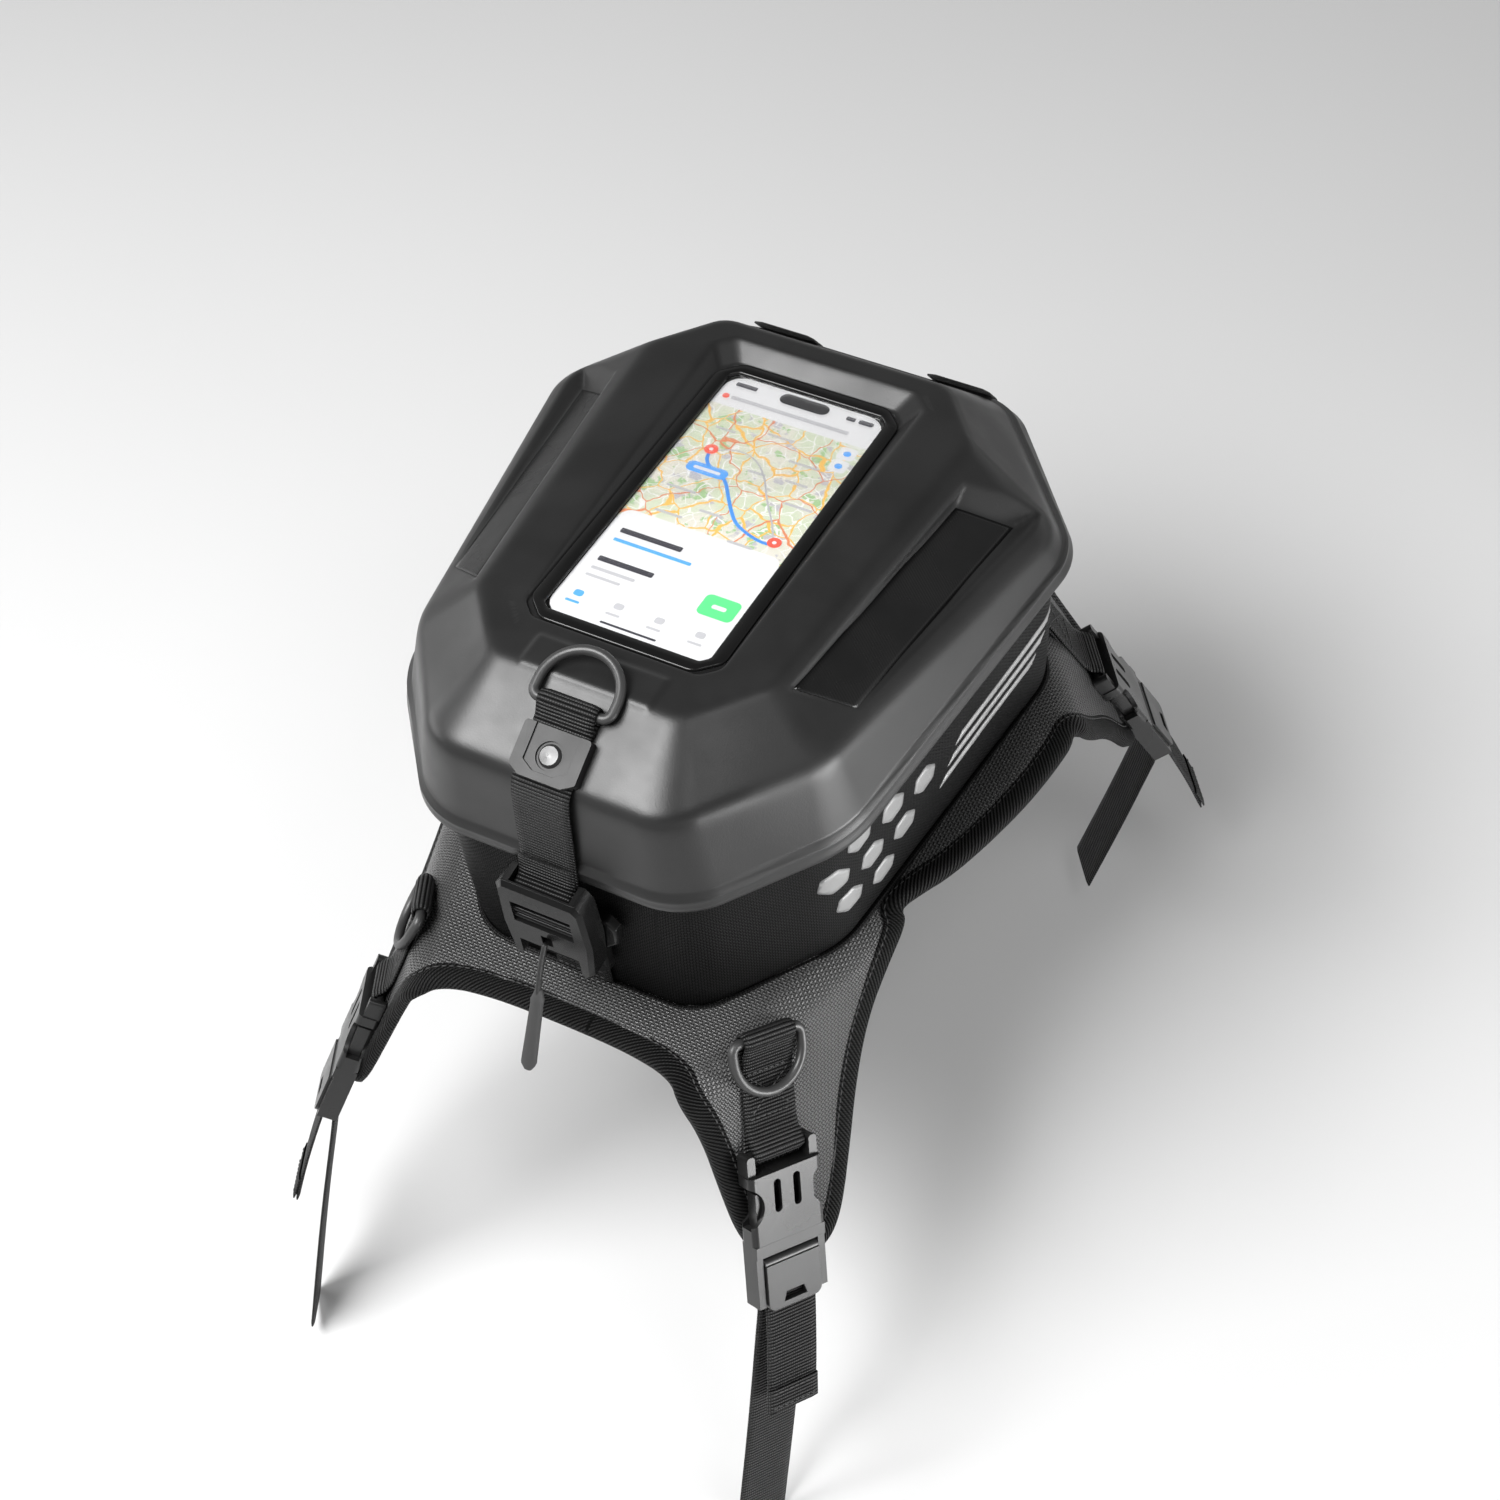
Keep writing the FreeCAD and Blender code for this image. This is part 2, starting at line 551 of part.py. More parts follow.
def make_marks():
    """Hexagon patches and plain slanted bars, mirrored left to right."""
    for side, hand in ((1, "right"), (-1, "left")):
        patches = Piece("hex_patches_" + hand)
        face = patches.sketch("XY_Plane", "0")
        for i, j in HEX_CELLS:
            x = HEX_START[0] + i * HEX_STEP[0] + j * HEX_RISE[0]
            y = HEX_START[1] + i * HEX_STEP[1] + j * HEX_RISE[1]
            hexagon = []
            for a, b in HEX_CORNERS:
                corner_x = x + HEX_SPREAD * (a * HEX_STEP[0] + b * HEX_RISE[0])
                corner_y = y + HEX_SPREAD * (a * HEX_STEP[1] + b * HEX_RISE[1])
                hexagon.append((corner_x, side * corner_y))
            polygon(face, hexagon)
        patches.pad(face, "patch_thickness")
        patches.body.Placement = wall_frame(side)
        keep("hex_patches_" + hand, patches.body)

        bars = Piece("side_stripes_" + hand)
        face = bars.sketch("XY_Plane", "0")
        for begin, end, level in SIDE_BARS:
            outline = [(begin, level), (end, level + BAR_RISE),
                       (end + BAR_DRIFT, level + BAR_RISE + BAR_HEIGHT),
                       (begin + BAR_DRIFT, level + BAR_HEIGHT)]
            polygon(face, [(x, side * y) for x, y in outline])
        bars.pad(face, "patch_thickness")
        bars.body.Placement = wall_frame(side)
        keep("side_stripes_" + hand, bars.body)


# ---------------------------------------------------------------- harness

def leg_place(leg, side, hardware):
    """Frame of a leg: +X down the leg, +Z out of it.  The hardware frame is turned
    to the buckle's lean and starts at the anchor bar."""
    data = LEGS[leg]
    facing = data["facing"] if side > 0 else 180 - data["facing"]
    turn = FreeCAD.Rotation(V(0, 0, 1), facing)
    turn = turn.multiply(FreeCAD.Rotation(V(0, 1, 0), data["drop"]))
    base = V(side * data["fold"][0], data["fold"][1], size("base_level"))
    if hardware:
        across, below = data["anchor"]
        base += turn.multVec(V(below, side * across, 0))
        turn = turn.multiply(FreeCAD.Rotation(V(0, 0, 1), side * data["lean"]))
    return FreeCAD.Placement(base, turn)


def plate_from(name, points, place, low, high):
    """Flat plate from plain points, in a given frame."""
    plate = Piece(name)
    flat = plate.sketch("XY_Plane", low)
    polygon(flat, points)
    plate.pad(flat, "(%s) - (%s)" % (high, low))
    plate.body.Placement = place
    return plate.body


def drawn_in(points, amount):
    """Outline moved inwards by an amount (points run either way round)."""
    wire = Part.makePolygon([V(x, y, 0) for x, y in points + points[:1]])
    smaller = wire.makeOffset2D(-amount, 2, False, False, True)
    return [(v.Point.x, v.Point.y) for v in smaller.OrderedVertexes]


def fold_point(leg, along_fold, past=0.0):
    """Point in plan on a right-hand leg's fold line, or past it."""
    fold_x, fold_y = LEGS[leg]["fold"]
    facing = math.radians(LEGS[leg]["facing"])
    return (fold_x - along_fold * math.sin(facing) + past * math.cos(facing),
            fold_y + along_fold * math.cos(facing) + past * math.sin(facing))


def make_harness():
    """Panel with folded legs, and the binding along its free edges.  The binding is
    what is left of a slightly thicker panel once its core is cut away; the core
    runs on across the folds."""
    level = FreeCAD.Placement()
    band = size("binding_width")
    fold_ends = {leg: (shape[0][1], shape[-1][1])
                 for leg, shape in (("rear", REAR_LEG), ("front", FRONT_LEG))}
    right = list(RIDER_EDGE)
    right += [fold_point("rear", end) for end in fold_ends["rear"]]
    right += WAIST_EDGE
    right += [fold_point("front", end) for end in fold_ends["front"]]
    right += BARS_EDGE
    whole = right + [(-x, y) for x, y in reversed(right[1:-1])]
    core_span = ("base_level - 12", "base_level + 8")
    outer = [plate_from("panel_base", whole, level, "base_level - panel_thickness",
                        "base_level")]
    bands = [plate_from("band_base", whole, level, "base_level - binding_thickness",
                        "base_level")]
    cores = [plate_from("core_base", drawn_in(whole, band), level, *core_span)]
    for leg, shape in (("rear", REAR_LEG), ("front", FRONT_LEG)):
        low, high = fold_ends[leg][0] + band, fold_ends[leg][1] - band
        bridge = [fold_point(leg, low, -1.6 * band), fold_point(leg, high, -1.6 * band),
                  fold_point(leg, high, 0.4 * band), fold_point(leg, low, 0.4 * band)]
        above = -1.6 * band
        reaching = [(above, shape[0][1])] + shape[1:-1] + [(above, shape[-1][1])]
        inner = drawn_in(reaching, band)
        for side, hand in ((1, "right"), (-1, "left")):
            place = leg_place(leg, side, False)
            name = "%s_%s" % (leg, hand)
            outline = [(x, side * y) for x, y in shape]
            outer.append(plate_from("panel_" + name, outline, place, "-panel_thickness", "0"))
            bands.append(plate_from("band_" + name, outline, place, "-binding_thickness", "0"))
            cores.append(plate_from("core_" + name, [(x, side * y) for x, y in inner],
                                    place, "-12", "8"))
            cores.append(plate_from("bridge_" + name, [(side * x, y) for x, y in bridge],
                                    level, *core_span))
    panel_whole = fuse_all("panel_whole", outer)
    core_whole = fuse_all("core_whole", cores)
    keep("harness_panel", boolean("Common", "harness_panel", panel_whole, core_whole))
    band_whole = fuse_all("band_whole", bands)
    keep("harness_binding", boolean("Cut", "harness_binding", band_whole, core_whole))


# ---------------------------------------------------------------- rings and webbing

def make_ring(node, place):
    """D-shaped ring: half of the wire is swept, then mirrored."""
    ring = Piece(node)
    path = ring.sketch("XY_Plane")
    bar_end = size("ring_half - ring_corner")
    reach = size("ring_arm")
    radius = size("ring_half")
    corner = size("ring_corner")
    path.addGeometry(Part.LineSegment(V(0, 0, 0), V(0, bar_end, 0)))
    path.addGeometry(Part.ArcOfCircle(Part.Circle(V(corner, bar_end, 0), V(0, 0, 1), corner),
                                      math.pi / 2, math.pi))
    path.addGeometry(Part.LineSegment(V(corner, radius, 0), V(reach, radius, 0)))
    path.addGeometry(Part.ArcOfCircle(Part.Circle(V(reach, 0, 0), V(0, 0, 1), radius),
                                      0, math.pi / 2))
    wire = ring.sketch("XZ_Plane")
    circle(wire, 0, 0, "wire_radius")
    ring.count += 1
    sweep = ring.body.newObject("PartDesign::AdditivePipe", node + "_sweep")
    sweep.Profile = wire
    sweep.Spine = path
    doc.recompute()
    mirror = ring.body.newObject("PartDesign::Mirrored", node + "_mirror")
    mirror.Originals = [sweep]
    mirror.MirrorPlane = (ring.plane("XZ_Plane"), [""])
    ring.body.Tip = mirror
    ring.body.Placement = place
    return keep(node, ring.body)


def webbing(node, outline, holes, place):
    """Webbing seen from its edge (an outline in X and Z), padded to its width."""
    strip = Piece(node)
    profile = strip.sketch("XZ_Plane")
    polygon(profile, outline)
    strip.pad(profile, "webbing_width", symmetric=True)
    for x, z, radius in holes:
        eye = strip.sketch("XZ_Plane")
        circle(eye, x, z, radius)
        strip.pocket(eye, "webbing_width + 2", symmetric=True)
    strip.body.Placement = place
    return keep(node, strip.body)


def loop_points(x, z, outer, first, last, steps=8):
    """Points on an arc about (x, z), angles in degrees."""
    turn = [first + (last - first) * i / steps for i in range(steps + 1)]
    return [("%s + (%s) * cos(%g)" % (x, outer, a), "%s + (%s) * sin(%g)" % (z, outer, a))
            for a in turn]


def anchor_outline(with_ring):
    """Two layers of webbing from the ring's bar, or a sewn end, to the socket's bar."""
    layer = "webbing_thickness"
    socket_loop = "socket_bar_radius + running_gap + %s" % layer
    points = []
    if with_ring:
        ring_loop = "wire_radius + running_gap + %s" % layer
        points += loop_points("0", "bar_height", ring_loop, 75, 270)
    else:
        points += [("6", "2 * %s + 0.2" % layer), ("0", "2 * %s + 0.2" % layer), ("0", "0.2")]
    points += [("socket_bar_at - 8", "0.2")]
    points += loop_points("socket_bar_at", "socket_bar_height", socket_loop, 260, 460, 10)
    points += [("socket_bar_at - 9", "2 * %s + 0.2" % layer)]
    if with_ring:
        points += [("11", "2 * %s + 0.2" % layer)]
    return points


# ---------------------------------------------------------------- side release buckle

def side_box(piece, x_low, x_high, y_low, y_high, z_low, z_high, cut=False):
    """Block added to, or cut from, a piece.  Blocks off the middle come in pairs."""
    flat = piece.sketch("XY_Plane", z_low)
    rectangle(flat, x_low, x_high, y_low, y_high)
    if y_low != "-(%s)" % y_high:
        rectangle(flat, x_low, x_high, "-(%s)" % y_high, "-(%s)" % y_low)
    height = "(%s) - (%s)" % (z_high, z_low)
    if cut:
        return piece.pocket(flat, height, reverse=True)
    return piece.pad(flat, height)


def across_bar(piece, x, z, radius, length, cut=False):
    """Round bar, or bore, along the width."""
    end = piece.sketch("XZ_Plane")
    circle(end, x, z, radius)
    if cut:
        return piece.pocket(end, length, symmetric=True)
    return piece.pad(end, length, symmetric=True)


def make_socket(node, place):
    """Fixed half of the buckle: webbing bar between two arms, and a hollow shell
    pinched in at the sides, where the prongs show."""
    half = "socket_width / 2"
    shell = Piece(node)
    side_box(shell, "socket_body", "socket_end", "-(%s)" % half, half,
             "socket_floor", "socket_top")
    doc.recompute()
    shell.dress("Fillet", along(V(1, 0, 0)), 2.5)
    side_box(shell, "socket_start", "socket_body + 3", "arm_inner", "%s - 0.5" % half,
             "socket_floor + 1", "socket_top - 2")
    doc.recompute()
    upright = along(V(0, 0, 1))
    arm_tip = size("socket_start") + 0.1
    shell.dress("Fillet", lambda e: upright(e) and e.CenterOfMass.x < arm_tip, "arm_round")
    across_bar(shell, "socket_bar_at", "socket_bar_height", "socket_bar_radius",
               "socket_width - 3")
    side_box(shell, "cavity_start", "socket_end + 1", "-(cavity_half)", "cavity_half",
             "cavity_floor", "cavity_top", cut=True)
    side_box(shell, "cavity_start + 3", "cavity_start + 18", "cavity_half - 1", half + " + 1",
             "cavity_floor", "cavity_top", cut=True)
    side_box(shell, "cavity_start", "cavity_start + 11", "slot_inner", "slot_outer",
             "cavity_top - 1", "socket_top + 1", cut=True)
    middle, round_end = "(slot_inner + slot_outer) / 2", "(slot_outer - slot_inner) / 2"
    for end in ("cavity_start", "cavity_start + 11"):
        slot_end = shell.sketch("XY_Plane", "cavity_top - 1")
        circle(slot_end, end, middle, round_end)
        circle(slot_end, end, "-(%s)" % middle, round_end)
        shell.pocket(slot_end, "socket_top - cavity_top + 2", reverse=True)
    pinch = shell.sketch("XY_Plane", "0")
    circle(pinch, "pinch_at", "pinch_out", "pinch_radius")
    circle(pinch, "pinch_at", "-pinch_out", "pinch_radius")
    shell.pocket(pinch, "socket_top + 1", reverse=True)
    shell.body.Placement = place
    return keep(node, shell.body)


def make_plug(node, place):
    """Sliding half: guide tongue, two prongs, side rails and the bar that the
    strap wraps."""
    plug = Piece(node)
    rail_out = "socket_width / 2 - 0.5"
    rail_in = rail_out + " - rail_width"
    side_box(plug, "socket_end + 0.2", "plug_shoulder", "-(%s)" % rail_out, rail_out,
             "socket_floor + 0.2", "socket_top - 0.2")
    side_box(plug, "cavity_start + 4", "socket_end + 1", "-(guide_half)", "guide_half",
             "cavity_floor + 0.2", "cavity_top - 0.2")
    side_box(plug, "cavity_start + 3", "socket_end + 1", "cavity_half - 0.2 - prong_width",
             "cavity_half - 0.2", "cavity_floor + 0.2", "cavity_top - 0.2")
    side_box(plug, "plug_shoulder - 1", "rail_end", rail_in, rail_out, "socket_floor + 0.2",
             "socket_top - 1")
    across_bar(plug, "wrap_bar_at", "wrap_bar_height", "wrap_bar_radius",
               "socket_width - 1 - rail_width")
    across_bar(plug, "cam_axis", "cam_axis_height", "stub_radius + 0.05",
               "socket_width - 1 - rail_width", cut=True)
    plug.body.Placement = place
    return keep(node, plug.body)


def make_lever(node, place):
    """Cam lever: cover plate, cam and two stub axles, with a finger hole."""
    lever = Piece(node)
    side_box(lever, "cam_axis", "lever_end", "-(lever_half)", "lever_half",
             "cam_axis_height + 1", "socket_top + 0.4")
    doc.recompute()
    upright = along(V(0, 0, 1))
    lever_tip = size("lever_end") - 0.1
    lever.dress("Fillet", lambda e: upright(e) and e.CenterOfMass.x > lever_tip, "lever_round")
    across_bar(lever, "cam_axis", "cam_axis_height", "cam_radius", "2 * lever_half")
    across_bar(lever, "cam_axis", "cam_axis_height", "stub_radius",
               "socket_width - 1 - rail_width - 1")
    hole = lever.sketch("XY_Plane", "cam_axis_height")
    near, far = "lever_end - finger_hole_near", "lever_end - finger_hole_far"
    polygon(hole, [(near, -4.2), (far, -5.6), (far, 5.6), (near, 4.2)])
    lever.pocket(hole, "6", reverse=True)
    lever.body.Placement = place
    return keep(node, lever.body)


def make_strap(node, place, length, bend):
    """Adjusting strap: long run, wrap round the plug's bar, folded tail on top."""
    layer = size("webbing_thickness")
    x = size("wrap_bar_at")
    z = size("wrap_bar_height")
    inner = size("wrap_bar_radius") + size("running_gap")
    outer = inner + layer
    steps = 8
    turn = [math.radians(90 + 180 * i / steps) for i in range(steps + 1)]
    wrap_out = [(x + outer * math.cos(a), z + outer * math.sin(a)) for a in turn]
    wrap_in = [(x + inner * math.cos(a), z + inner * math.sin(a)) for a in reversed(turn)]
    knee = size("strap_knee")
    low = z - outer
    fall = math.radians(bend)
    slope = math.radians(size("tail_slope"))
    end_x = knee + length * math.cos(fall)
    end_z = low - length * math.sin(fall)
    tail_x = knee + size("tail_length") * math.cos(slope)
    tail_z = z + outer - size("tail_length") * math.sin(slope) - 1.0
    outline = wrap_out
    outline += [(knee, low), (end_x, end_z),
                (end_x + layer * math.sin(fall), end_z + layer * math.cos(fall)),
                (knee, low + layer)]
    outline += wrap_in
    outline += [(knee - 2, z + inner), (tail_x, tail_z - layer), (tail_x, tail_z)]
    outline += [(knee - 2, z + outer)]
    return webbing(node, outline, [], place)


def make_legs():
    for leg, ring in (("rear", True), ("front", False)):
        for side, hand in ((1, "right"), (-1, "left")):
            place = leg_place(leg, side, True)
            name = "%s_%s" % (leg, hand)
            eyes = [("socket_bar_at", "socket_bar_height", "socket_bar_radius + running_gap")]
            if ring:
                eyes.append((0, "bar_height", "wire_radius + running_gap"))
            webbing("anchor_webbing_" + name, anchor_outline(ring), eyes, place)
            if ring:
                lift = FreeCAD.Placement(V(0, 0, size("bar_height")),
                                         FreeCAD.Rotation(V(0, 1, 0), -size("ring_lift")))
                make_ring("dring_" + name, place.multiply(lift))
            make_socket("buckle_socket_" + name, place)
            make_plug("buckle_plug_" + name, place)
            make_lever("cam_lever_" + name, place)
            make_strap("strap_" + name, place, size(leg + "_strap_length"),
                       size(leg + "_strap_fall"))


# ---------------------------------------------------------------- closure

def facet_place():
    """Frame on the lid's rider-end facet: +X down the slope, +Z out of it."""
    top_y = -size("plateau_rider")
    top_z = size("plateau_level") - top_y * math.tan(math.radians(size("plateau_tilt")))
    low_y = -size("brow_rider")
    low_z = size("brow_level") - low_y * math.tan(math.radians(size("brow_tilt")))
    run = V(0, low_y - top_y, low_z - top_z).normalize()
    across = V(1, 0, 0)
    out = run.cross(across).normalize()
    if out.z < 0:
        across = -across
        out = run.cross(across).normalize()
    return FreeCAD.Placement(V(0, top_y, top_z), FreeCAD.Rotation(run, across, out, "XZY"))


def mirrored_rim(sketch, start, end, half):
    """Outline of a plate that is square at its start and rounded off at its end."""
    right = [(start, half), ("%s - keeper_round * 0.6" % end, half),
             (end, "%s - keeper_round" % half)]
    polygon(sketch, right + [(x, "-(%s)" % y) for x, y in reversed(right)])


def make_closure():
    place = facet_place()
    layer = "webbing_thickness"
    # ring loop: sewn stack between the ring's bar and the keeper
    loop = "wire_radius + running_gap + " + layer
    outline = [("lid_ring_at + " + x, z)
               for x, z in loop_points("0", "bar_height", loop, 75, 270)]
    outline += [("keeper_start - 0.3", "0.2"), ("keeper_start - 0.3", "2 * %s + 0.2" % layer)]
    webbing("ring_webbing", outline,
            [("lid_ring_at", "bar_height", "wire_radius + running_gap")], place)
    lie = FreeCAD.Placement(V(size("lid_ring_at"), 0, size("bar_height")),
                            FreeCAD.Rotation(V(0, 1, 0), 180 - size("lid_ring_sink")))
    make_ring("lid_dring", place.multiply(lie))

    # keeper plate: raised rails, a channel for the strap and a rivet through both
    plate = Piece("keeper_plate")
    flat = plate.sketch("XY_Plane", "0.1")
    mirrored_rim(flat, "keeper_start", "keeper_end", "keeper_width / 2")
    plate.pad(flat, "keeper_thickness")
    plate.dress("Fillet", along(V(0, 0, 1)), 1.5)
    recess = plate.sketch("XY_Plane", "keeper_thickness + 0.1")
    mirrored_rim(recess, "keeper_start - 1", "keeper_end - 3.2", "keeper_width / 2 - keeper_rail")
    plate.pocket(recess, "keeper_recess")
    well = plate.sketch("XY_Plane", "keeper_thickness + 0.1")
    circle(well, "(keeper_start + keeper_end) / 2", 0, "rivet_head_radius + 0.9")
    plate.pocket(well, "rivet_well")
    channel = plate.sketch("XY_Plane", "0")
    rectangle(channel, "keeper_start - 1", "keeper_end + 1", "-webbing_width / 2 - 0.2",
              "webbing_width / 2 + 0.2")
    plate.pocket(channel, layer + " + 0.5", reverse=True)
    bore = plate.sketch("XY_Plane", "0")
    circle(bore, "(keeper_start + keeper_end) / 2", 0, "rivet_shank_radius + 0.1")
    plate.pocket(bore, "keeper_thickness + 2", reverse=True)
    plate.body.Placement = place
    keep("keeper_plate", plate.body)

    middle = "(keeper_start + keeper_end) / 2"
    rivet = Piece("keeper_rivet")
    half = rivet.sketch("XZ_Plane")
    top = "keeper_thickness + 0.2 - rivet_well"
    polygon(half, [("0", "-rivet_grip - 1.2"), ("rivet_head_radius", "-rivet_grip - 1.2"),
                   ("rivet_head_radius", "-rivet_grip"), ("rivet_shank_radius", "-rivet_grip"),
                   ("rivet_shank_radius", top),
                   ("rivet_head_radius", top), ("rivet_head_radius - 1", top + " + 1.4"),
                   ("0", top + " + 1.8")])
    turned = rivet.body.newObject("PartDesign::Revolution", "keeper_rivet_turned")
    turned.Profile = half
    turned.ReferenceAxis = (half, ["V_Axis"])
    turned.Angle = 360
    shift = FreeCAD.Placement(V(size(middle), 0, 0), FreeCAD.Rotation())
    rivet.body.Placement = place.multiply(shift)
    keep("keeper_rivet", rivet.body)

    make_closure_strap(place)
    make_closure_buckle()


def make_closure_strap(place):
    """Strap from under the keeper, over the brow and the rim, round the buckle's bar."""
    layer = size("webbing_thickness")
    gap = 0.4

    def on_facet(x, z):
        p = place.multVec(V(x, 0, z))
        return (-p.y, p.z)

    under_start = on_facet(size("keeper_start") + 0.5, gap)
    over_start = on_facet(size("keeper_start") + 0.5, gap + layer)
    under_brow = on_facet(size("keeper_end") + 1.0, gap)
    over_brow = on_facet(size("keeper_end") + 1.6, gap + layer)
    rim_y = size("rim_rider") + 2 * gap
    rim_z = size("rim_level")
    bar_y = size("strap_bar_out")
    bar_z = size("strap_bar_level")
    outer = size("strap_bar_radius + running_gap") + layer
    wrap = [math.radians(205 + 235 * i / 10) for i in range(11)]
    outline = [under_start, under_brow, (rim_y, rim_z), (rim_y + 0.3, rim_z - 3)]
    outline += [(bar_y + outer * math.cos(a), bar_z + outer * math.sin(a)) for a in wrap]
    outline += [(rim_y + layer + 1.2, rim_z + 1), (over_brow[0] + 0.4, over_brow[1] - 0.5),
                over_start]
    strip = Piece("closure_webbing")
    profile = strip.sketch("YZ_Plane")
    polygon(profile, [(-y, z) for y, z in outline])
    strip.pad(profile, "webbing_width", symmetric=True)
    eye = strip.sketch("YZ_Plane")
    circle(eye, "-strap_bar_out", "strap_bar_level", "strap_bar_radius + running_gap")
    strip.pocket(eye, "webbing_width + 2", symmetric=True)
    doc.recompute()
    middle = size("(keeper_start + keeper_end) / 2")
    bore_place = place.multiply(FreeCAD.Placement(V(middle, 0, -10), FreeCAD.Rotation()))
    bores = []
    for name, clearance in (("strap_bore", "0.1"), ("lid_bore", "0.05")):
        bore = doc.addObject("Part::Cylinder", name)
        bore.setExpression("Radius", linked("rivet_shank_radius + " + clearance))
        bore.Height = 20
        bore.Placement = bore_place
        bores.append(bore)
    keep("closure_strap", boolean("Cut", "closure_strap", strip.body, bores[0]))
    shell = parts["lid_shell"]
    shell.Label = "lid_before_bore"
    keep("lid_shell", boolean("Cut", "lid_bored", shell, bores[1]))


def make_closure_buckle():
    """Upper half on the strap, catch on the body, and the release cord."""
    depth = "buckle_front - buckle_back"
    half = Piece("closure_buckle")
    face = half.sketch("XZ_Plane", "buckle_back")
    mirrored_polygon(face, [
        ("buckle_half - 3", "buckle_top"), ("buckle_half", "buckle_top - 4"),
        ("buckle_half + 1", "buckle_widest"), ("buckle_half - 1", "buckle_foot + 4"),
        ("buckle_half - 4", "buckle_foot"), ("buckle_window_half", "buckle_foot + 5"),
        ("buckle_window_half", "buckle_arch")])
    half.pad(face, depth)
    front, beside = -size("buckle_front"), size("buckle_window_half") + 1
    half.dress("Chamfer", lambda e: abs(e.CenterOfMass.y - front) < 1e-3
               and (abs(e.CenterOfMass.x) > beside or e.CenterOfMass.z > size("buckle_top") - 1),
               "buckle_bevel")
    behind = half.sketch("XZ_Plane", "buckle_front - buckle_cover")
    rectangle(behind, "-buckle_window_half", "buckle_window_half", "buckle_pocket_foot",
              "buckle_top + 1")
    half.pocket(behind, depth)
    window = half.sketch("XZ_Plane", "buckle_front")
    rectangle(window, "-buckle_window_half", "buckle_window_half", "buckle_pocket_foot",
              "buckle_cover_foot")
    half.pocket(window, depth)
    slot = half.sketch("XZ_Plane", "buckle_front")
    rectangle(slot, "-cord_slot_half", "cord_slot_half", "cord_level - 4",
              "cord_level + 1.5")
    half.pocket(slot, "6")
    bar = half.sketch("YZ_Plane")
    circle(bar, "-strap_bar_out", "strap_bar_level", "strap_bar_radius")
    half.pad(bar, "2 * buckle_half - 2", symmetric=True)
    ribs = half.sketch("YZ_Plane")
    for level in ("buckle_rib_low", "buckle_rib_high"):
        circle(ribs, "-buckle_front + 2", level, "buckle_rib_radius")
    half.pad(ribs, "2 * buckle_half - 4", symmetric=True)
    keep("closure_buckle", half.body)

    plate = Piece("catch_plate")
    face = plate.sketch("XZ_Plane", "buckle_back - 0.5 - catch_thickness")
    mirrored_polygon(face, [
        ("catch_half - 3", "catch_foot"), ("catch_half", "catch_foot + 4"),
        ("catch_half", "catch_neck"), ("catch_wing_half", "catch_wing_foot"),
        ("catch_wing_half", "catch_wing_top"), ("catch_wing_half - 3.5", "catch_top + 3")])
    plate.pad(face, "catch_thickness")
    plate.dress("Chamfer", lambda e: abs(e.CenterOfMass.y + size("buckle_back - 0.5")) < 1e-3, 0.8)
    keep("catch_plate", plate.body)

    tab = Piece("catch_webbing")
    flat = tab.sketch("XZ_Plane", "floor_rider + 0.3")
    rectangle(flat, "-catch_webbing_half", "catch_webbing_half", "base_level + 4",
              "catch_top + 2")
    tab.pad(flat, "buckle_back - 0.5 - catch_thickness - floor_rider - 0.5")
    keep("catch_webbing", tab.body)

    fall = FreeCAD.Placement(V(0, -size("cord_out"), size("cord_level")),
                             FreeCAD.Rotation(V(1, 0, 0), 180 - size("cord_lean")))
    cord = doc.addObject("Part::Cylinder", "pull_cord")
    cord.setExpression("Radius", linked("cord_radius"))
    cord.setExpression("Height", linked("cord_length"))
    cord.Placement = fall.multiply(FreeCAD.Placement(V(0, 0, 1.5), FreeCAD.Rotation()))
    keep("pull_cord", cord)
    tip = Piece("pull_tab")
    shape = tip.sketch("XZ_Plane")
    start = "cord_length + 1.7"
    polygon(shape, [("-tab_root_width / 2", start), ("tab_root_width / 2", start),
                    ("tab_tip_width / 2", start + " + tab_length - 3"),
                    ("tab_tip_width / 2 - 1.5", start + " + tab_length"),
                    ("-tab_tip_width / 2 + 1.5", start + " + tab_length"),
                    ("-tab_tip_width / 2", start + " + tab_length - 3")])
    tip.pad(shape, "tab_thickness", symmetric=True)
    tip.body.Placement = fall
    keep("pull_tab", tip.body)


